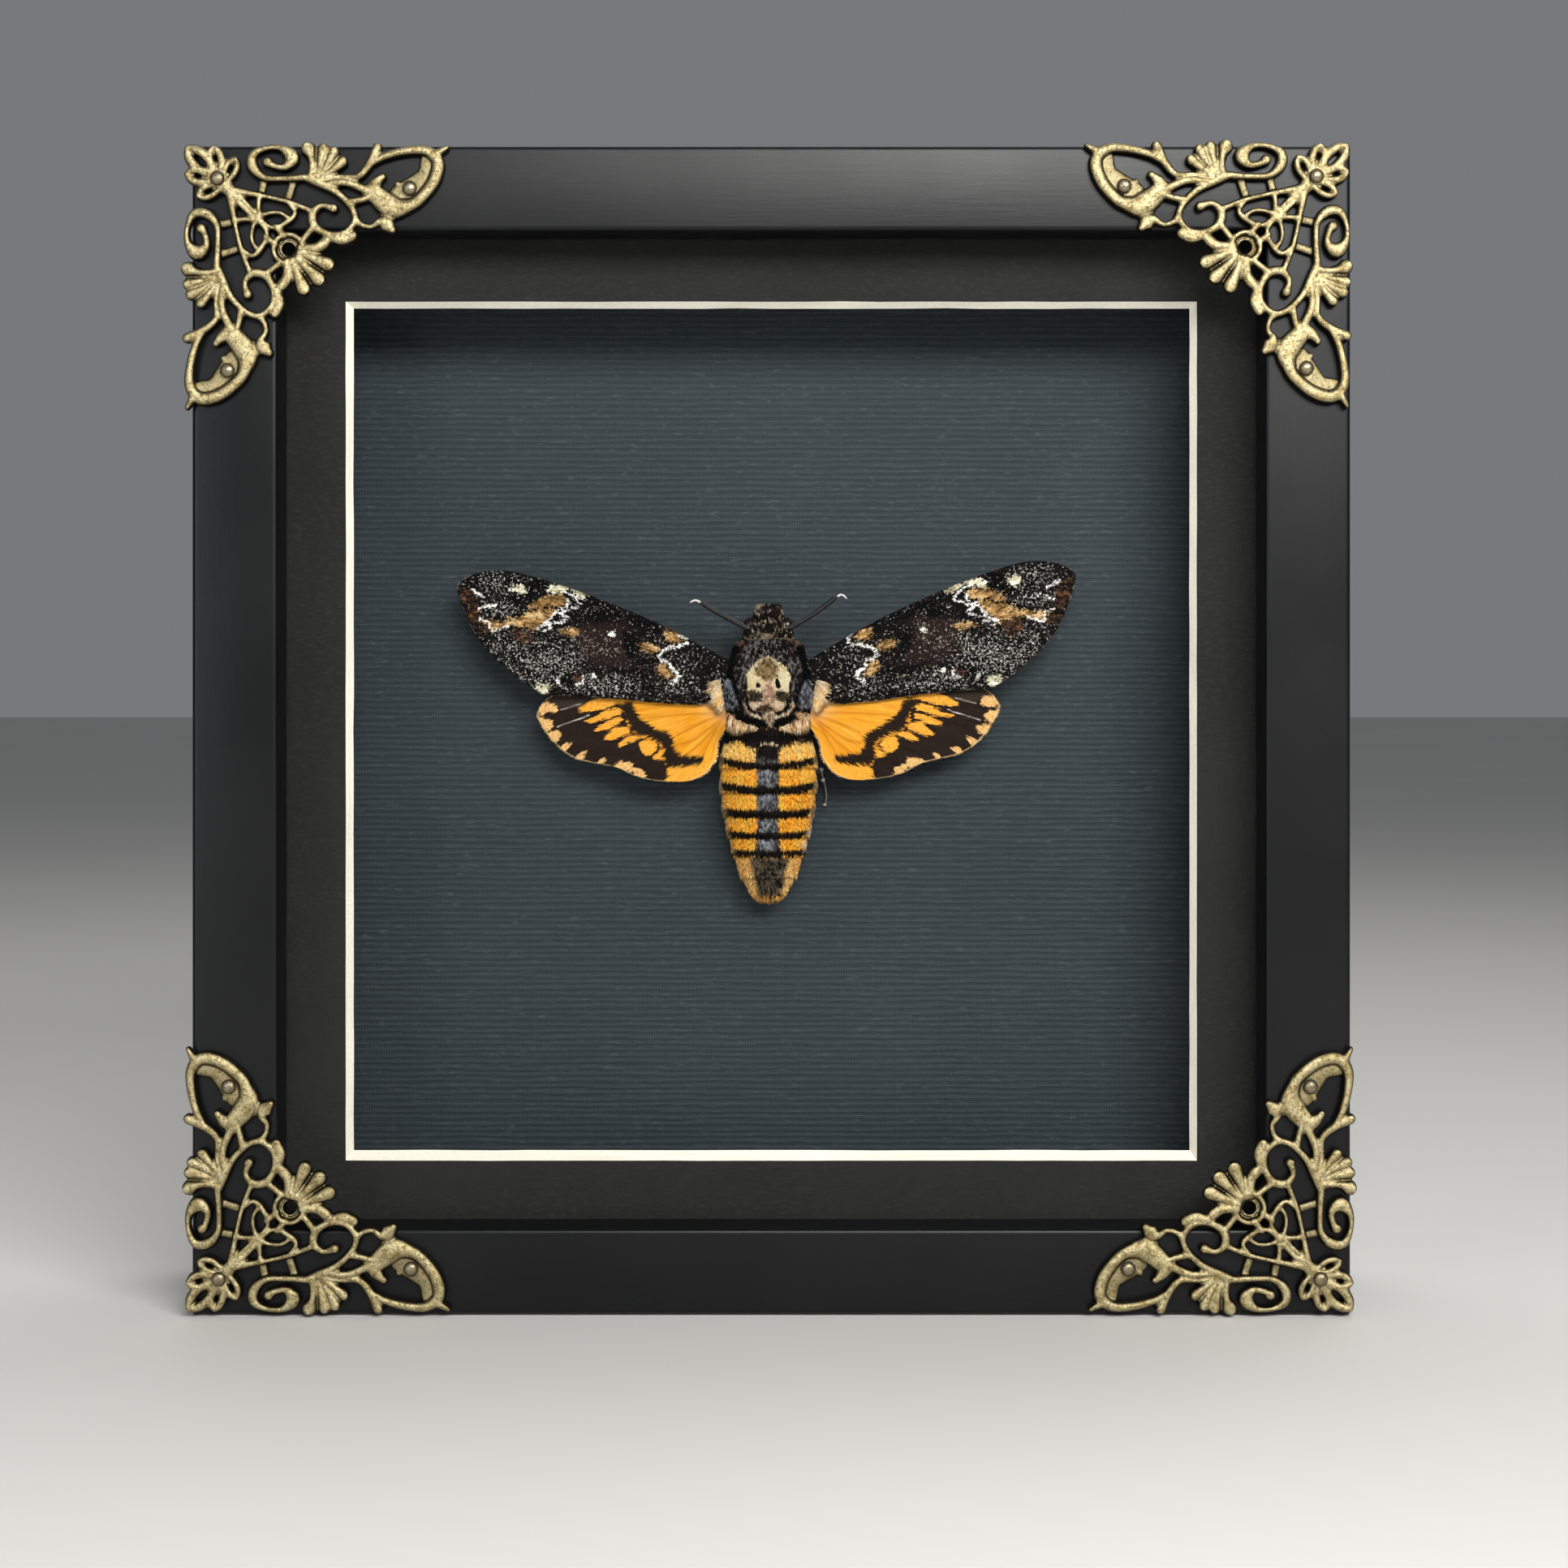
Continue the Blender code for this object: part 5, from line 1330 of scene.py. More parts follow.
BODY_PATCHES = {
    "skull": [SKULL],
    "brow": [(-.3,2.75, .9,2.4, 1.7,1.4, 1.8,-.2, 1.2,-.8, .3,-1.5, -.4,-1.5, -1.3,-.8, -2.2,0, -2.2,1.3,
         -1.4,2.3)],
    "sockets": [(-2,-1.45, -1.2,-2.3, -2.25,-2.5),
        (1.7,-.75, 2.35,-2.5, 1.5,-2.55, 1.25,-1.3)],
    "cheeks": [(-3.85,-3, -2.2,-3.2, -1.1,-3.1, -.95,-4.3, -1.7,-5.2, -3.1,-5.2, -3.85,-4.5),
        (1.35,-3.2, 2.7,-3, 3.7,-3.4, 3.7,-4.9, 2.3,-5.1, 1.15,-4.5)],
    "nose": [(-.3,-1.6, .6,-1.6, 1.2,-3.3, 1,-4.6, -.1,-5.5, -1.1,-4.6, -.9,-3.3)],
    "mouth": [(-2.2,-6.5, -1.1,-5.7, -.1,-5.5, 1,-6.3, 1.3,-6.8, -.3,-7, -1.8,-7)],
    "jaws": [(-3.3,-5.3, -1.8,-5.2, -1,-5.5, -2.2,-6.3, -2.7,-6.5),
        (1.2,-5, 2.4,-5.2, 2.9,-5.9, 1.9,-6.5, 1.2,-5.9)],
    "lobes": [LOBE_LEFT, LOBE_RIGHT],
    "pale_tufts": [(-.5,-7, .8,-6.8, 1.2,-7.9, .6,-9.6, -.3,-8.8, -.5,-7.7),
        (-1.4,7.2, -.3,7.4, .9,7.1, .4,6.7, -.7,6, -1.3,6.4),
        (-2,12.4, -1.3,12.5, -1.2,12, -1.8,11.9)],
    "crescents": [(-5.8,-7.3, -4.4,-7.4, -3.1,-7.9, -1.4,-8.3, -.3,-9, -.2,-9.8, -1.8,-9.8, -4,-8.9,
         -5.6,-8.3),
        (1.4,-8.2, 3,-7.8, 4.5,-7.6, 4.7,-8.1, 3.2,-9.1, 1.5,-9.8, 1,-9.3)],
    "peach": [(-7.9,-7.2, -5.9,-7.6, -4.4,-9, -2.4,-9.6, -2.4,-10.3, -4,-10.3, -5.2,-10.5, -6.6,-10.5,
         -8,-9.4),
        (4.9,-7.2, 6.4,-7.2, 8.2,-9.4, 7.5,-10.3, 5.6,-10.5, 4.5,-10.2, 3.2,-10, 4.3,-8.9, 5.3,-8.5)],
    "tail_base": [(-8.6,-10.4, -5.3,-10.6, -3.7,-10.2, -1.8,-9.8, 1.9,-9.8, 3.4,-10.3, 4.7,-10.6,
         7.3,-10.5, 8.8,-10.6, 9,-13, 7.1,-12.7, 4.5,-12.9, 2.7,-13.7, 1.8,-14.8, 1.4,-15.6, -1.6,-15.6,
         -2.2,-14.1, -4,-13.5, -5.3,-12.5, -8.2,-12.9)],
}
BODY_STROKES = {
    "stripes": [(1.6, -5.8,4.2, -6.7,2.2, -6.8,.2, -6.4,-1.9, -5.9,-3.6, -5.3,-5.4),
        (1.6, 5.5,4.2, 6.4,2.3, 6.9,.3, 6.4,-1.6, 5.7,-3, 5.1,-5)],
    "lobe_edges": [(.5, -8.4,-1.6, -8.2,-4, -7.5,-6.5, -6.6,-7.1, -5.4,-6.8),
        (.5, 8.6,-2.2, 8.3,-4.4, 7.7,-6.5, 6.4,-6.9, 5.5,-6.5)],
    "skull_edge": [(.32, -4,-.7, -3.9,-2.5, -3.95,-4.2),
        (.32, 4,-1.6, 3.9,-2.9, 3.9,-4.4)],
    "jaw_lines": [(.42, -3.9,-4.6, -3.5,-6.3, -2.6,-7.05, -1.4,-7.25),
        (.42, 3.6,-4.8, 3.3,-6.1, 2.4,-6.95, 1.5,-7.2)],
    "cream_line": [(.36, -4.2,-5.6, -3.9,-6.5, -2.6,-7.5, -1.3,-7.9, -.2,-8),
        (.36, 4.4,-5.4, 4.2,-6.2, 3.4,-7.15, 2,-7.75, .5,-8),
        (.34, -1.3,-13.1, 0,-12.8, 1.5,-13.1)],
    "collar_lines": [(.3, -4,6.6, -3.3,6.1, -2.2,6.2, -1.3,6.1),
        (.3, 2.7,6.6, 3.6,6.2, 4.4,6.4)],
}


# %% A cloud of numbers for uneven colour
def clouds(places, size, seed):
    """Soft noise from 0 to 1 over places of 2 or 3 numbers, with clouds of a size in mm."""
    cells = 64
    table = np.random.default_rng(seed).random((cells,) * places.shape[1])
    spots = places / size
    corner = np.floor(spots).astype(int)
    share = spots - corner
    share = share * share * (3 - 2 * share)
    total = np.zeros(len(places))
    for code in range(2 ** places.shape[1]):
        bits = [(code >> i) & 1 for i in range(places.shape[1])]
        weight = np.ones(len(places))
        index = []
        for i, bit in enumerate(bits):
            weight = weight * (share[:, i] if bit else 1 - share[:, i])
            index.append((corner[:, i] + bit) % cells)
        total += weight * table[tuple(index)]
    return total


# %% The colour of the body at any place
def body_colour(across, along, up, seed):
    """Linear colours over the body; up is 1 on top and -1 below."""
    places = np.column_stack([across, along])
    count = len(places)
    chance = np.random.default_rng(seed)
    ragged = (clouds(places, .35, 3) - .5) * .5 + chance.normal(0, .07, count)
    tone = clouds(places, 1.3, 5)
    clump = clouds(places * (1.0, .6), .30, 13)
    hair = (1.7 * (clump - .5) + .5 + chance.normal(0, .22, count)).clip(0, 1)
    colour = np.zeros((count, 3))

    def lay(mask, rgb, rgb_two=None, share=None):
        share_two = tone if share is None else share
        first = np.array(light_value(*rgb))
        paint = first if rgb_two is None else (first + (np.array(light_value(*rgb_two)) - first)
                                               * share_two[:, None])
        colour[:] = colour * (1 - mask[:, None]) + paint * mask[:, None]

    def patch(name, soft=.1, wobble=1.0):
        source = BODY_PATCHES.get(name)
        made = patch_field(places, source) if source else stroke_field(places, BODY_STROKES[name])
        return (((made + ragged * wobble) / soft + 1) / 2).clip(0, 1) * (up > -.1)

    one = np.ones(count)
    lay(one, (15, 11, 10), (36, 27, 24))
    lay((hair > .62) * (.35 + .5 * tone), (88, 70, 56), (134, 112, 92))
    disc = ((6.6 - np.hypot(across, (along + .8) * .86)) / .8).clip(0, 1)
    lay(disc * .8, (19, 16, 16), (40, 34, 35))
    lay(disc * (hair > .7) * .85, (78, 71, 68), (158, 150, 144), chance.random(count))
    head = ((along - 5.9) / .6).clip(0, 1)
    lay(head, (18, 13, 11), (38, 29, 23))
    lay(head * (hair > .8), (84, 73, 60), (176, 164, 144), chance.random(count))
    lay(patch("stripes", .2, .5), (9, 7, 7))
    lay(patch("lobes", .25), (22, 22, 26), (144, 147, 156), hair)
    lay(patch("lobe_edges", .2, .6), (16, 12, 12))
    lay(patch("collar_lines", .12, .4), (164, 146, 122))

    back = ((-along - 9.8) / .5).clip(0, 1)
    streak = clouds(np.column_stack([across * 3.2, along * .45]), 1.0, 7)
    lay(back, (255, 158, 20), (255, 208, 92), (.4 * tone + .6 * streak).clip(0, 1))
    fray = (clouds(np.column_stack([across * 4.5, along * .9]), 1.0, 9) - .5) * .7
    first = ((along + 16.3) / .6).clip(0, 1) * back
    lay(first * .65, (250, 190, 84), (255, 226, 148), streak)
    edge = across + .1 + ragged * 1.1
    stripe_half = np.interp(-along, [12, 30, 34], [2.05, 1.95, 2.5])
    middle = (((stripe_half - np.abs(edge)) / .3 + .5).clip(0, 1)) * back * (up > 0)
    lay(middle, (36, 32, 30), (104, 98, 94), hair)
    for spot in (-18.9, -23.2, -27.4, -31.0):
        far = ((across + .3) / 1.6) ** 2 + ((along - spot) / 1.7) ** 2
        lay(middle * np.exp(-far) * .85, (74, 77, 86), (178, 181, 188), hair)
    sag = np.interp(-along, [15.0, 17.5, 22.0, 27.0], [.015, .015, .009, .005])
    for low, high in ((-17.7, -16.4), (-22.1, -20.7), (-26.6, -25.1), (-30.4, -29.1), (-33.7, -32.5)):
        bent = along - sag * across ** 2
        depth = np.minimum(high - bent + ragged * .3, bent - low + fray + ragged * .6)
        lay((depth / .14 + .5).clip(0, 1) * back, (16, 12, 9), (40, 31, 23), hair * .8)
    tail = ((-along - 33.7 + ragged) / .5).clip(0, 1) * (up > -.2)
    lay(tail, (232, 168, 76), (255, 216, 144), streak)
    inner = ((3.9 - (-along - 34) * .22 - np.abs(across - .2) + fray) / .7).clip(0, 1)
    lay(tail * inner, (28, 23, 19), (112, 100, 83), hair)
    lay(tail * ((-along - 40.9 + ragged) / .5).clip(0, 1), (206, 146, 66), (240, 192, 112))
    # Painted shade: a thin dark line painted for the slit at the tip of the tail
    slit_shade = ((.14 - np.abs(across - .43)) / .1).clip(0, 1) * (along < -39.4)
    lay(slit_shade * (up > 0), (30, 22, 16))
    flank = ((np.abs(across) / np.interp(-along, [10, 20, 30, 41], [8.3, 8.6, 7.0, 3.6]) - .93 + ragged
              * .1) / .09).clip(0, 1) * back * (along > -33)
    lay(flank * .7, (160, 120, 78), (230, 202, 162), hair)
    for x, y in ((-9.0, -20.7), (-8.7, -25.8), (7.3, -29.4), (6.4, -31.6)):
        far = ((across - x) / .4) ** 2 + ((along - y) / .5) ** 2
        lay(np.exp(-far) * back * .9, (244, 230, 200))
    below = ((-up - .1) / .3).clip(0, 1)
    lay(below * back, (168, 112, 44), (206, 156, 84), streak)
    lay(below * (1 - back), (58, 44, 36), (84, 66, 52))

    lay(patch("tail_base", .3, 1.6), (18, 13, 12), (34, 26, 23))
    lay(patch("peach", .25, 1.2), (176, 118, 66), (250, 214, 164), hair)
    skull = patch("skull", .06, .24)
    lay(skull, (255, 226, 172), (255, 243, 210))
    lay(skull * ((-3.2 - along) / .5).clip(0, 1) * .8, (158, 118, 92), (216, 180, 148), hair)
    lay(patch("brow", .35, 1.6), (84, 66, 38), (166, 140, 98), hair)
    lay(patch("nose", .4, 1.5), (168, 126, 102), (232, 200, 172), hair)
    lay(patch("cheeks", .16, 1.7), (14, 10, 8), (84, 72, 52), hair)
    lay(patch("jaws", .12, 1.0), (226, 194, 162), (252, 230, 200))
    lay(patch("mouth", .2, 1.3), (44, 28, 18), (104, 78, 54), hair)
    lay(patch("sockets", .06, .1), (14, 8, 7))
    lay(patch("skull_edge", .1, .2), (34, 24, 20))
    lay(patch("jaw_lines", .08, .2), (14, 9, 9))
    lay(patch("crescents", .12, .3), (9, 7, 7))
    lay(patch("cream_line", .14, .7), (206, 168, 128), (255, 238, 208), hair)
    lay(patch("pale_tufts", .2, .9) * (.9 - .4 * head), (240, 220, 184), (150, 124, 96), hair)
    return colour


# %% The skin's grid, its swell and its normals
turn = np.linspace(-math.pi, math.pi, BODY_SIDES, endpoint=False)
up_grid = np.broadcast_to(np.cos(turn)[None], (BODY_ROWS, BODY_SIDES))
across_grid = body_half[:, None] * np.sin(turn)[None]
above_grid = ((body_low + body_high) / 2)[:, None] + ((body_high - body_low) / 2)[:, None] \
    * np.cos(turn)[None]
along_grid = np.broadcast_to(body_along[:, None], across_grid.shape)


def grid_normals(grid):
    """Normals of a ring grid of places, turned away from the body's middle line."""
    round_way = (np.roll(grid, -1, axis=1) - np.roll(grid, 1, axis=1)) / 2
    normals = unit(np.cross(round_way, np.gradient(grid, axis=0)))
    middles = np.stack([np.zeros(BODY_ROWS), body_along, (body_low + body_high) / 2], axis=-1)
    return normals if np.sum(normals * (grid - middles[:, None])) >= 0 else -normals


body_grid = np.stack([across_grid, along_grid, above_grid], axis=-1)
small = (body_half / 2.0).clip(0, 1)[:, None]
swell = body_swell(across_grid, along_grid, up_grid) * small
body_grid = body_grid + grid_normals(body_grid) * swell[..., None]
outward = grid_normals(body_grid)
print("skin points:", body_grid.shape[0] * body_grid.shape[1])

# %% The skin's finish: the painted colour, with short fur as relief
BODY_SKIN = Finish("body_skin", Roughness=.85, Specular_IOR_Level=.2)
skin_fur = BODY_SKIN.noise(BODY_SKIN.in_mm((3, 1, .6)), 3, 4, .7)
paint = BODY_SKIN.add("Attribute", attribute_name="coat_colour").outputs["Color"]
dark = BODY_SKIN.mix(1, paint, (.45, .42, .4), "MULTIPLY")
BODY_SKIN.give("Base Color", BODY_SKIN.mix(BODY_SKIN.band(skin_fur, .35, .65), dark, paint))
BODY_SKIN.relief(skin_fur, .15, 1)


def set_colour(mesh, values):
    """Paint each point of a mesh."""
    values = np.column_stack([values, np.ones(len(values))])
    set_values(mesh, "coat_colour", values, "FLOAT_COLOR", "color")


def set_unwrap(mesh, values):
    """A UV map from one pair of numbers for each corner of each face."""
    layer = mesh.uv_layers.new(name="OFBake")
    layer.data.foreach_set("uv", np.asarray(values, np.float32).ravel())


skin_places = body_grid.reshape(-1, 3)
skin_faces = [face[::-1] for face in closed_faces(BODY_ROWS, BODY_SIDES)]
skin_piece = new_piece("moth_body_skin", on_moth(*skin_places.T), skin_faces, [BODY_SKIN],
                       ["moth_head", "moth_thorax", "moth_abdomen"])
set_colour(skin_piece.data, body_colour(skin_places[:, 0], skin_places[:, 1], up_grid.ravel(), 1))

# %% [markdown]
# ## Fur
#
# A moth's fur is flattened hairs and long scales that overlap like
# shingles. Blender's own hair would be drawn as strands, but a model made
# of plain meshes has to have solid ones. Each tuft here is a thin closed
# wedge of ten triangles: a three-cornered root sunk in the skin, a middle
# that lifts a little, and a pointed tip. Arrays build thousands at once.

# %% Build many tufts at once
ROOT_DEPTH = .12
PATCH_ON_UNWRAP = .0015


def tuft_mesh(name, roots, ways, normals, lengths, widths, lift, colours, spots, shade=1.0):
    """Solid tufts in one mesh; spots are their places on the unwrap, shade sets how much the roots are
    darkened as painted shade and the tips lightened as painted highlight.
    """
    count = len(roots)
    sides = unit(np.cross(ways, normals))
    lengths, widths, lift = [np.broadcast_to(v, count)[:, None] for v in (lengths, widths, lift)]
    sunk = roots - normals * ROOT_DEPTH
    middle = roots + ways * lengths * .5 + normals * (.02 + lengths * lift)
    tip = roots + ways * lengths + normals * (lengths * lift * 1.1)
    points = np.empty((count, 7, 3))
    for k, (aside, out) in enumerate([(.5, 0.0), (-.5, 0.0), (0.0, .45)]):
        points[:, k] = sunk + sides * widths * aside * .8 + normals * widths * out
        points[:, k + 3] = middle + sides * widths * aside + normals * widths * out * .8
    points[:, 6] = tip
    shape = np.array([[0, 2, 1, 1], [0, 1, 4, 3], [1, 2, 5, 4], [2, 0, 3, 5], [3, 4, 6, 6], [4, 5, 6, 6],
                      [5, 3, 6, 6]])
    sizes = [3, 4, 4, 4, 3, 3, 3]
    corners = np.concatenate([face[:size] for face, size in zip(shape, sizes)])
    loops = (corners[None] + np.arange(count)[:, None] * 7).ravel()
    mesh = bpy.data.meshes.new(name)
    mesh.vertices.add(count * 7)
    mesh.vertices.foreach_set("co", (on_moth(*points.reshape(-1, 3).T) * MM).ravel())
    mesh.loops.add(len(loops))
    mesh.loops.foreach_set("vertex_index", loops.astype(np.int32))
    mesh.polygons.add(count * len(sizes))
    all_sizes = np.tile(sizes, count)
    mesh.polygons.foreach_set("loop_start", np.concatenate([[0], np.cumsum(all_sizes)[:-1]]))
    mesh.update(calc_edges=True)
    # Painted shade at the roots, where the tufts shade each other, and painted highlight at the tips
    tones = 1 + np.array([-.5, -.5, -.4, -.05, -.05, .05, .25]) * shade
    painted = (colours[:, None] * tones[None, :, None]).reshape(-1, 3).clip(0, 1)
    set_colour(mesh, painted)
    place_in_patch = np.array([[-1, -1], [1, -1], [0, -.8], [-.7, 0], [.7, 0], [0, .2],
                               [0, 1]]) * PATCH_ON_UNWRAP
    unwrap = spots[:, None] + place_in_patch[corners][None]
    set_unwrap(mesh, unwrap.reshape(-1, 2))
    return mesh


def tuft_triangles(mesh):
    return sum(len(p.vertices) - 2 for p in mesh.polygons)


FUR = Finish("moth_fur", Roughness=.7, Specular_IOR_Level=.04)
paint = FUR.add("Attribute", attribute_name="coat_colour").outputs["Color"]
vary = FUR.noise(FUR.in_mm(), 2, 2)
dark = FUR.mix(1, paint, (.86, .85, .84), "MULTIPLY")
FUR.give("Base Color", FUR.mix(FUR.band(vary, .35, .65), dark, paint))


# %% [markdown]
# ### Where the fur grows
#
# Roots are scattered over the skin by area, thicker on top, where it is
# seen, than below. The fur on the head leans forwards and all the rest
# leans back. It is short and fine on the skull mark, so that its drawing
# stays crisp, and longer on the shoulders, the rear of the thorax and the
# edges of the abdomen.

# %% Scatter roots over the skin
def scatter(count, first_row, last_row, weight, seed):
    """Random places on the skin between two rows, by area times a weight."""
    chance = np.random.default_rng(seed)
    part = body_grid[first_row:last_row + 1]
    step_down = np.linalg.norm(np.diff(part, axis=0), axis=2)
    step_round = np.linalg.norm(part - np.roll(part, -1, axis=1), axis=2)[:-1]
    area = step_down * step_round
    area = area * weight(part[:-1, :, 0], part[:-1, :, 1], up_grid[first_row:last_row])
    chosen = chance.choice(area.size, count, p=(area / area.sum()).ravel())
    row, column = np.divmod(chosen, BODY_SIDES)
    row = row + first_row
    after = (column + 1) % BODY_SIDES
    s = chance.random(count)[:, None]
    t = chance.random(count)[:, None]

    def between(grid):
        near = grid[row, column] * (1 - t) + grid[row, after] * t
        far = grid[row + 1, column] * (1 - t) + grid[row + 1, after] * t
        return near * (1 - s) + far * s

    spots = np.column_stack([(column + t[:, 0]) / BODY_SIDES, (row + s[:, 0]) / BODY_ROWS])
    return between(body_grid), unit(between(outward)), up_grid[0, column], spots, chance


def coat(name, count, rows, weight, size, lean, seed, vary=.24):
    """A piece of fur; size(across, along, up) gives each tuft's length, width and lift."""
    roots, normals, up, spots, chance = scatter(count, *rows, weight, seed)
    ways = lean(roots, chance)
    ways = unit(ways - normals * np.sum(ways * normals, axis=1, keepdims=True))
    lengths, widths, lift = size(roots[:, 0], roots[:, 1], up)
    lengths = lengths * chance.uniform(.75, 1.25, count)
    widths = widths * chance.uniform(.75, 1.25, count)
    lift = lift * chance.uniform(.5, 1.5, count)
    seen = roots + ways * lengths[:, None] * .6
    colours = body_colour(seen[:, 0], seen[:, 1], up, seed + 100)
    colours = colours * chance.uniform(1 - vary, 1 + vary, (count, 1))
    # vary also sets the strength of the painted root shade and tip highlight
    mesh = tuft_mesh(name, roots, ways, normals, lengths, widths, lift, colours, spots, vary * 4)
    piece = finish_piece(name, mesh, [FUR], smooth=False)
    print(name, "tufts:", count, "triangles:", tuft_triangles(mesh))
    return piece


def row_at(along):
    return int(np.argmin(np.abs(body_along - along)))


def leaning_back(roots, chance):
    away = np.column_stack([roots[:, 0] * .03, np.full(len(roots), -1.0), np.zeros(len(roots))])
    return away + chance.normal(0, .16, roots.shape)


def leaning_forward(roots, chance):
    forward = ((roots[:, 1] - 6.6) / 1.6).clip(-1, 1)
    away = np.column_stack([roots[:, 0] * .12, forward + .15, np.zeros(len(roots))])
    return away + chance.normal(0, .28, roots.shape)


def head_size(across, along, up):
    return .8, .17, .30


def thorax_size(across, along, up):
    skull = patch_field(np.column_stack([across, along]), [SKULL])
    near = ((.25 - skull) / .6).clip(0, 1)
    rear = ((-along - 8.4) / 1.2).clip(0, 1)
    length = .42 + .45 * near + .85 * rear
    return length, .14 + .07 * near, .10 + .16 * near + .04 * rear


def abdomen_size(across, along, up):
    rear = ((-along - 38.5) / 1.5).clip(0, 1)
    side = ((.45 - np.abs(up)) / .3).clip(0, 1)
    step = np.zeros(len(across))
    for end in BAND_ENDS:
        step = np.maximum(step, ridge(along - .011 * across ** 2, end + 2.0, .7))
    return 1.15 + .5 * rear + .25 * side, .2, .09 + .05 * side + .07 * step


def on_top(across, along, up):
    return .2 + .8 * (up > -.15)


coat("head_fur", 9000, (3, row_at(5.6)), on_top, head_size, leaning_forward, 21)
coat("thorax_fur", 18500, (row_at(6.0), row_at(-10.2)), on_top, thorax_size, leaning_back, 22)
coat("abdomen_fur", 19500, (row_at(-9.6), BODY_ROWS - 6), on_top, abdomen_size, leaning_back, 23,
     .09)

# %% [markdown]
# ### Hair at the wing roots
#
# Long pale hair fans out from each shoulder over the root of the hindwing,
# and two peach-coloured brushes stand behind the shoulder lobes. These
# hairs start on a line, not on a surface, so they are listed: a line of
# roots, a line of tips, and many tufts between them with a little play.

# %% Brushes from a line of roots to a line of tips, (across, along, above)
HAIR_FANS = {
    "shoulder_hair": [
        ([(8.9, -1.5, 10.4), (8.6, -2.4, 10.6), (8.4, -3.8, 10.4), (8.2, -5.6, 10.0)],
         [(13.0, -3.3, 9.6), (12.2, -4.9, 9.4), (11.0, -6.2, 9.4), (9.2, -7.8, 9.5)],
         620, ((252, 234, 198), (250, 214, 158), (248, 190, 96)), .14),
        ([(9.0, -1.2, 10.6), (8.8, -1.9, 10.8)], [(12.0, -2.2, 9.9), (11.4, -4.2, 9.8)],
         150, ((246, 230, 198), (222, 196, 152), (184, 160, 122)), .16),
    ],
    "rear_brushes": [
        ([(7.4, -7.2, 12.4), (6.2, -8.2, 13.3), (4.9, -8.9, 13.6), (3.2, -9.5, 13.6),
          (2.2, -9.8, 13.5)],
         [(7.6, -10.2, 12.4), (6.6, -11.2, 13.3), (5.2, -11.3, 13.7), (3.6, -10.6, 13.8),
          (2.2, -10.2, 13.7)],
         760, ((255, 236, 202), (228, 184, 132), (92, 60, 38)), .17),
    ],
}


def upright(ways):
    """Normals that stand up from the card, square to the given ways."""
    return unit(np.array([0.0, 0.0, 1.0]) - ways * ways[:, 2:])


def in_rows(count, wide):
    """Places on the unwrap for tufts that grow on no grid, row by row."""
    number = np.arange(count)
    return np.column_stack([number % wide, number // wide]) / (wide + 2)


def mixed_tones(tones, run, play, chance, seed):
    """A colour for each hair: neighbours match, apart from a little play."""
    patchy = clouds(np.column_stack([run, run * 0]), 1.0, seed)
    pick = (patchy * (3 - play) + chance.random(len(run)) * play).clip(0, 2.999).astype(int)
    return np.array([light_value(*one) for one in tones])[pick]


def fan_of_hair(fans, seed):
    """Roots, tips, colours and widths of the hairs of fans on both sides."""
    chance = np.random.default_rng(seed)
    rows = []
    for roots, tips, count, tones, width in fans:
        for side in (-1, 1):
            share = chance.random(count)
            start = at_share(np.array(roots), share) + chance.normal(0, .16, (count, 3))
            end = at_share(np.array(tips), share + chance.normal(0, .04, count))
            end = start + (end - start) * chance.uniform(.55, 1.0, (count, 1))
            start = start + (end - start) * chance.uniform(0.0, .3, (count, 1))
            end += chance.normal(0, .22, (count, 3)) * (1, 1, .5)
            colours = mixed_tones(tones, share * 40, .6, chance, seed)
            start[:, 0] *= side
            end[:, 0] *= side
            rows.append((start, end, colours, np.full(count, width)))
    return [np.concatenate(column) for column in zip(*rows)]


for name, fans in HAIR_FANS.items():
    roots, tips, colours, widths = fan_of_hair(fans, len(name))
    lengths = np.linalg.norm(tips - roots, axis=1)
    ways = (tips - roots) / lengths[:, None]
    mesh = tuft_mesh(name, roots, ways, upright(ways), lengths, widths, .05, colours,
                     in_rows(len(roots), 40), .5)
    finish_piece(name, mesh, [FUR], smooth=False)
    print(name, "hairs:", len(roots))

# %% [markdown]
# ### Fringes along the wings
#
# The outer margin and the rear edge of each wing end in a fringe of scales
# not half a millimetre long. They break up the outline, dark with a few
# pale ones on the forewing and cream on the hindwing. The same tufts serve,
# laid flat in a row along the edge of the wing's grid.

# %% A fringe for each wing
FRINGES = {
    "moth_fore_wing_": (FORE_WING, .42, .2, ((22, 17, 16), (60, 50, 45), (150, 143, 134))),
    "moth_hind_wing_": (HIND_WING, .45, .17, ((120, 92, 62), (226, 188, 128), (250, 226, 176))),
}
FRINGE_SPACING = .075


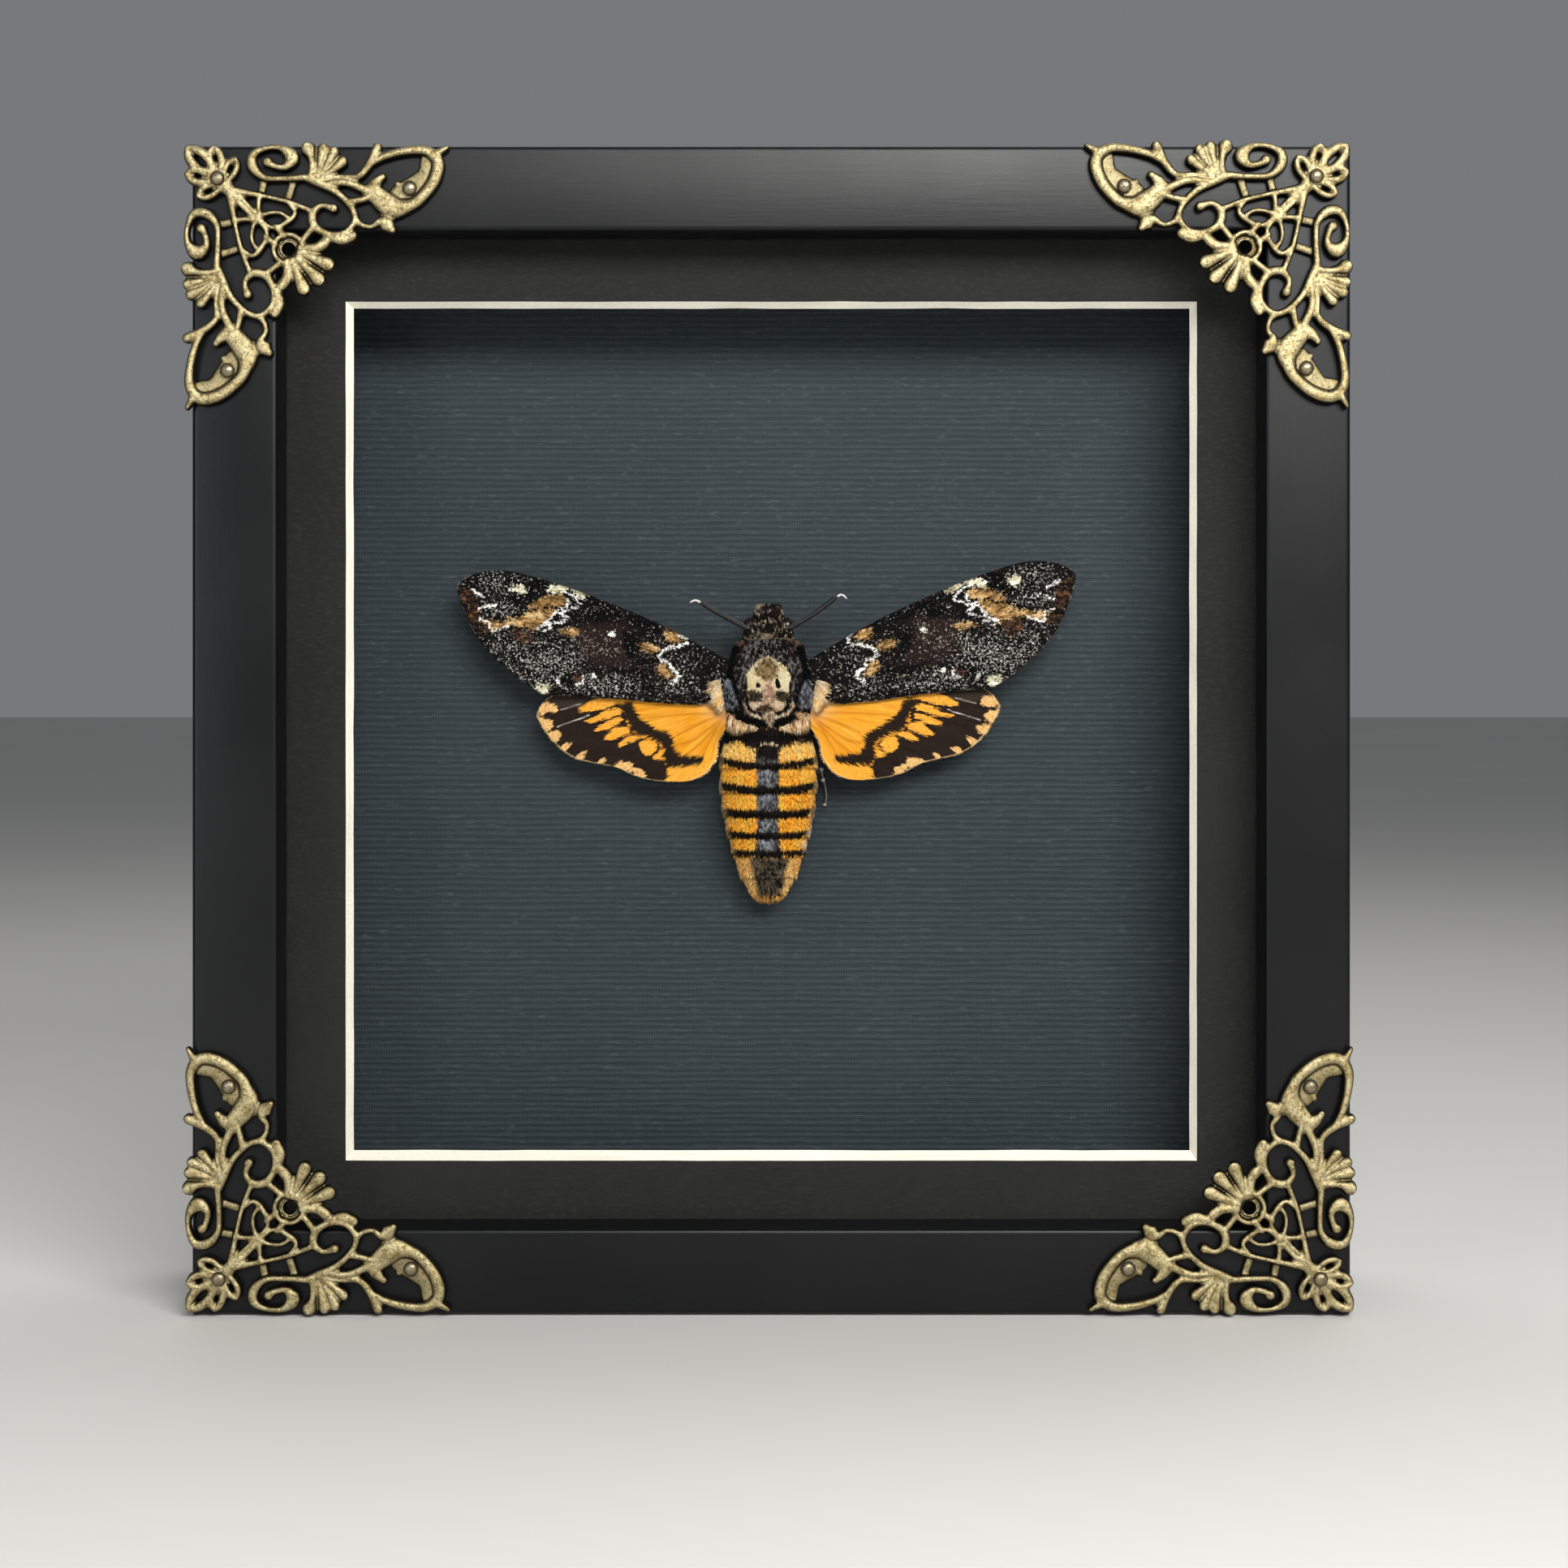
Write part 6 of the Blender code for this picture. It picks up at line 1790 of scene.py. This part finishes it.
def fringe(name, wing, side, length, width, tones, seed):
    """Flat tufts that point away from a wing's outer margin and rear edge."""
    chance = np.random.default_rng(seed)
    places, u, v = wing_grid(wing)
    level = wing_levels(wing, places, u, v)
    rows, columns = wing["grid"]
    grid = wing_places(wing, side, places, level).reshape(rows, columns, 3)
    edge = np.vstack([grid[-1, 2:], grid[-2:rows // 8:-1, -1]])
    inner = np.vstack([grid[-4, 2:], grid[-2:rows // 8:-1, -4]])
    run = run_along(edge)[-1]
    count = int(run / FRINGE_SPACING)
    share = np.sort(chance.random(count))
    roots = at_share(edge, share)
    ways = unit(roots - at_share(inner, share))
    ways = unit(ways + chance.normal(0, .16, roots.shape) * (1, 1, .4))
    roots = roots - ways * .1 - np.array([0, 0, .12])
    colours = mixed_tones(tones, share * run / .9, .8, chance, seed)
    lengths = length * chance.uniform(.7, 1.3, count)
    mesh = tuft_mesh(name, roots, ways, upright(ways), lengths, width, 0.0, colours, in_rows(count, 50),
                     .4)
    finish_piece(name, mesh, [FUR], smooth=False)
    return count


for stem, (wing, length, width, tones) in FRINGES.items():
    for side, word in SIDES:
        made = fringe(stem + word + "_fringe", wing, side, length, width, tones, 40 + side)
        print(stem + word, "fringe scales:", made)

# %% [markdown]
# ## Legs, feelers and eyes
#
# The legs are folded under the wings, and only the feet of one hind leg
# show beside the abdomen. Each leg is a tube whose radius follows its
# joints: a thick thigh, a shin with spurs at its end, and a foot with a
# pale ring at each joint and two claws. A feeler is a stout dark ribbed
# rod with a painted highlight along its upper edge, brightest on each rib,
# and a thin white hooked tip. Tubes swept along a smooth path make them all.

# %% A closed tube along a path in the moth's frame
TUBE_SIDES = 12


def tube(path, radii, colours, flat=1.0):
    """Points, faces and colours of a closed tube; flat squeezes it towards the card."""
    ways = unit(np.gradient(path, axis=0))
    sides = unit(np.cross(ways, (0.0, 0.0, 1.0)))
    tops = np.cross(sides, ways)
    angle = np.linspace(0, 2 * math.pi, TUBE_SIDES, endpoint=False)
    ring = (sides[:, None] * np.cos(angle)[None, :, None] + tops[:, None] * np.sin(angle)[None, :, None]
            * flat)
    points = path[:, None] + ring * np.asarray(radii)[:, None, None]
    faces = [face[::-1] for face in closed_faces(len(path), TUBE_SIDES)]
    shade = np.asarray(colours)[:, None] * np.ones((1, TUBE_SIDES, 1))
    return points.reshape(-1, 3), faces, shade.reshape(-1, 3)


def gather(parts):
    """Join the points, faces and colours of several closed parts."""
    points, faces, colours = [], [], []
    start = 0
    for part_points, part_faces, part_colours in parts:
        faces += [[corner + start for corner in face] for face in part_faces]
        start += len(part_points)
        points.append(part_points)
        colours.append(part_colours)
    return np.vstack(points), faces, np.vstack(colours)


# %% The finish of legs and feelers: painted colour over fine ribs
LIMB = Finish("limb_scales", Roughness=.5, Specular_IOR_Level=.4)
paint = LIMB.add("Attribute", attribute_name="coat_colour").outputs["Color"]
fine = LIMB.noise(LIMB.in_mm(), 5, 3, .7)
dark = LIMB.mix(1, paint, (.5, .48, .46), "MULTIPLY")
LIMB.give("Base Color", LIMB.mix(LIMB.band(fine, .35, .6), dark, paint))
LIMB.give("Roughness", LIMB.band(fine, .3, .7, .42, .62))
LIMB.relief(fine, .04, .8)


def painted_limb(name, points, faces, colours):
    """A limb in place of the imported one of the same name."""
    piece = new_piece(name, on_moth(*points.T), faces, [LIMB], [name])
    set_colour(piece.data, colours)


# %% Routes of the legs, (across, above, along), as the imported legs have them
LEGS = {
    "fore": [(8.5, 5.6, 3.2), (11.5, 5.6, .6), (15.5, 4.2, 3.6), (17.5, 3.0, 5.2)],
    "mid": [(9.0, 5.0, -3.6), (13.5, 5.0, -5.4), (19.5, 3.8, -2.6), (23.5, 2.6, -.4)],
    "hind_left": [(8.9, 4.6, -8.0), (13.5, 5.0, -11.0), (19.0, 4.0, -13.5),
                  (23.0, 2.6, -11.8)],
    "hind_right": [(8.9, 4.6, -8.0), (12.2, 5.0, -11.4), (9.8, 4.6, -17.7),
                   (10.1, 4.2, -19.8), (10.5, 3.8, -22.2), (10.4, 3.3, -24.6)],
}
DARK_LEG = np.array(light_value(22, 16, 13))
PALE_RING = np.array(light_value(226, 218, 202))
FOOT_RINGS = (0.0, 3.0, 4.5, 5.7, 6.7, 7.6)
HIND_FOOT_RINGS = (0.0, 2.1, 6.9)
CLAW_LENGTH = .75
FOOT_SHARE = .62


def leg_profile(length, at, foot_from, rings):
    """Radius and paleness at each distance along a leg."""
    thigh = np.interp(at, [0, 1.2, foot_from * .42, foot_from * .5], [.30, .62, .46, .30])
    shin = np.interp(at, [foot_from * .5, foot_from * .6, foot_from], [.30, .42, .36])
    radius = np.where(at < foot_from * .5, thigh, shin)
    far = np.abs((at - foot_from)[:, None] - np.array(rings)).min(axis=1)
    ring = np.exp(-(far / .26) ** 2)
    foot = .33 + .07 * ring - .03 * (at - foot_from).clip(0, 9) / 3
    radius = np.where(at > foot_from, foot, radius)
    radius = radius * np.interp(length - at, [0, .25], [.35, 1.0])
    return radius, np.where(at > foot_from - .3, ring, 0.0)


def spike(root, way, length, radius, colour):
    """A curved spur or claw."""
    share = np.linspace(0, 1, 6)[:, None]
    bend = np.array([0.0, 0.0, -.25])
    path = root + way * share * length + bend * share ** 2 * length
    radii = radius * (1.0 - .92 * share[:, 0])
    return tube(path, radii, np.tile(colour, (6, 1)))


def leg(name, route, side, rings=FOOT_RINGS):
    """One leg, with its spurs and claws, and a pale line along the foot's outer side."""
    path = curve_through([(x * side, z, y) for x, y, z in route], .16)
    at = run_along(path)
    foot_from = at[-1] * FOOT_SHARE
    radii, pale = leg_profile(at[-1], at, foot_from, rings)
    points, faces, colours = tube(path, radii, np.zeros((len(path), 3)))
    aside = (points[:, 0] - np.repeat(path[:, 0], TUBE_SIDES)) * side
    line = ((aside / np.repeat(radii, TUBE_SIDES) - .72) / .2).clip(0, .7)
    line = line * (np.repeat(at, TUBE_SIDES) > foot_from)
    pale = np.maximum(np.repeat(pale, TUBE_SIDES), line)[:, None]
    parts = [(points, faces, DARK_LEG + (PALE_RING - DARK_LEG) * pale)]
    ways = unit(np.gradient(path, axis=0))
    joint = int(np.argmin(np.abs(at - foot_from)))
    aside = np.cross(ways[joint], (0, 0, 1))
    for turn in (-1, 1):
        way = ways[joint] * .8 + aside * .5 * turn
        parts.append(spike(path[joint], way, 1.3, .13, PALE_RING * .45))
        way = ways[-1] * .7 + aside * .5 * turn
        parts.append(spike(path[-1], way, CLAW_LENGTH, .10, DARK_LEG))
    painted_limb(name, *gather(parts))


# %% Six legs
for side, word in SIDES:
    leg("moth_fore_leg_" + word, LEGS["fore"], side)
    leg("moth_mid_leg_" + word, LEGS["mid"], side)
leg("moth_hind_leg_left", LEGS["hind_left"], -1)
leg("moth_hind_leg_right", LEGS["hind_right"], 1, HIND_FOOT_RINGS)
print("legs made:", 6)

# %% Two feelers, (across, above, along)
FEELERS = {
    "left": [(-4.4, 10.4, 8.6), (-8.4, 10.3, 10.7), (-12.3, 10.1, 13.0), (-13.4, 10.1, 13.5),
             (-14.4, 10.0, 13.1)],
    "right": [(4.7, 10.4, 8.8), (8.6, 10.3, 11.2), (12.4, 10.1, 14.0), (13.5, 10.1, 14.5),
              (14.4, 10.0, 13.8)],
}
FEELER_ROOT = {"left": (-3.2, 10.3, 8.1), "right": (3.3, 10.3, 8.2)}
RIB_SPACING = .26
HOOK_LENGTH = 2.1


def feeler(word):
    """A dark ribbed rod with a painted highlight along its upper edge, and a white hook."""
    route = [FEELER_ROOT[word]] + FEELERS[word]
    path = curve_through([(x, z, y) for x, y, z in route], .065)
    at = run_along(path)
    left = at[-1] - at
    radii = np.interp(left, [0, .3, HOOK_LENGTH, HOOK_LENGTH + .8, at[-1] - 1, at[-1]],
                      [.07, .15, .21, .46, .44, .28])
    radii = radii * (1 + .06 * np.cos(at / RIB_SPACING * 2 * math.pi))
    points, faces, colours = tube(path, radii, np.tile(light_value(18, 16, 14), (len(path), 1)))
    facing = points[:, 1] - np.repeat(path[:, 1], TUBE_SIDES)
    high = (facing / np.repeat(radii, TUBE_SIDES)).clip(0, 1)
    ribs = .75 + .25 * np.cos(np.repeat(at, TUBE_SIDES) / RIB_SPACING * 2 * math.pi)
    # Painted highlight: the upper edge of the rod is painted pale, most on each rib
    pale = (((high - .7) / .25).clip(0, 1) * ribs)[:, None]
    colours = colours + (np.array(light_value(176, 176, 162)) - colours) * pale
    hook = (np.repeat(left, TUBE_SIDES) < HOOK_LENGTH)[:, None]
    colours = np.where(hook, np.array(light_value(246, 244, 236)), colours)
    painted_limb("moth_feeler_" + word, points, faces, colours)


for word in FEELERS:
    feeler(word)

# %% [markdown]
# ### The eyes
#
# A hawkmoth's eyes are large dark brown domes of thousands of tiny lenses.
# From the front the fur hides them nearly whole, and from the side they
# shine through it. Each is a slightly flattened ball. The lenses are far
# too small to model, so a fine cell pattern roughens the gloss.

# %% Glossy dark eyes with a fine cell pattern
EYE_GLOSS = Finish("eye_gloss", Coat_Weight=.5, Coat_Roughness=.08)
place = EYE_GLOSS.in_mm()
lenses = EYE_GLOSS.add("TexVoronoi", {"Vector": place, "Scale": 11.0, "Randomness": .25})
cloud = EYE_GLOSS.noise(place, .9, 3)
EYE_GLOSS.give("Base Color", EYE_GLOSS.mix(EYE_GLOSS.band(cloud, .35, .65), (14, 9, 7), (36, 23, 16)))
EYE_GLOSS.give("Roughness", EYE_GLOSS.band(cloud, .3, .7, .18, .3))
EYE_GLOSS.relief(lenses.outputs["Distance"], .02, .6)


def eye(word):
    """A flattened ball of rings, in place of a packed eye."""
    name = "moth_eye_" + word
    low, high = corners_of(name)
    middle = (low + high) / 2
    reach = (high - low) / 2 * np.array([.97, .97, 1.0])
    rings, sides = 30, 44
    points = []
    for lift in np.linspace(-math.pi / 2 + .02, math.pi / 2 - .02, rings):
        for k in range(sides):
            spin = 2 * math.pi * k / sides
            way = np.array([math.cos(lift) * math.cos(spin), math.cos(lift) * math.sin(spin),
                            math.sin(lift)])
            points.append(middle + reach * way)
    faces = closed_faces(rings, sides)
    new_piece(name + "_ball", points, faces, [EYE_GLOSS], [name])
    return round(reach[0] * 2, 2)


print("eyes, mm across:", eye("left"), eye("right"))

# %% [markdown]
# ## Floor, light and camera
#
# The studio is plain: a pale floor, a pale surround, and one broad soft
# lamp high in front and a little to the right, so the upper edges catch
# light and the right side of the window's well stays bright. The lens is
# long and looks straight on. It is shifted, not tilted, because the photo
# keeps the box square.

# %% The floor and the surround
FLOOR = Finish("pale_floor", Roughness=.7, Specular_IOR_Level=.2)
cloud = FLOOR.noise(FLOOR.in_mm(), .004, 3)
FLOOR.give("Base Color", FLOOR.mix(cloud, (205, 203, 199), (214, 212, 208)))
floor_mesh = bpy.data.meshes.new("floor")
REACH = 6.0
floor_mesh.from_pydata([(-REACH, -REACH, 0), (REACH, -REACH, 0), (REACH, REACH, 0), (-REACH, REACH, 0)],
                       [], [(0, 1, 2, 3)])
floor_mesh.materials.append(FLOOR.material)
floor = bpy.data.objects.new("floor", floor_mesh)
bpy.context.scene.collection.objects.link(floor)
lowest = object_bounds()[0].z
floor.location.z = lowest - .0002

world = bpy.data.worlds.new("studio")
bpy.context.scene.world = world
world.use_nodes = True
surround = world.node_tree.nodes["Background"]
surround.inputs["Color"].default_value = (.92, .95, 1.0, 1)
surround.inputs["Strength"].default_value = .2


# %% Lamps
def soft_lamp(name, spot, aim, size, watts, colour=(1, 1, 1)):
    light = bpy.data.lights.new(name, "AREA")
    light.shape = "RECTANGLE"
    light.size, light.size_y = size
    light.energy = watts
    light.color = colour
    lamp = bpy.data.objects.new(name, light)
    lamp.location = spot
    lamp.rotation_mode = "QUATERNION"
    lamp.rotation_quaternion = (Vector(aim) - Vector(spot)).to_track_quat("-Z", "Y")
    bpy.context.scene.collection.objects.link(lamp)
    return lamp


CENTRE = (0, 0, .102)
soft_lamp("window_light", (.2, -.62, .42), CENTRE, (.55, .22), 7.4, (1.0, .99, .97))
soft_lamp("front_fill", (-.62, -.95, .2), CENTRE, (.35, .5), 2.4, (.93, .96, 1.0))
soft_lamp("top_rim", (.05, .3, .9), CENTRE, (.7, .4), 3.0)

# %% The camera, straight on from half a metre
lens = bpy.data.cameras.new("studio_camera")
lens.lens = 62.94
lens.sensor_width = 36.0
lens.shift_y = -.073
lens.clip_start = .02
lens.clip_end = 40.0
camera = bpy.data.objects.new("studio_camera", lens)
camera.location = (.00223, -.5, .113)
camera.rotation_euler = (math.radians(90), 0, 0)
bpy.context.scene.collection.objects.link(camera)
bpy.context.scene.camera = camera
bpy.context.scene.view_settings.view_transform = "Standard"
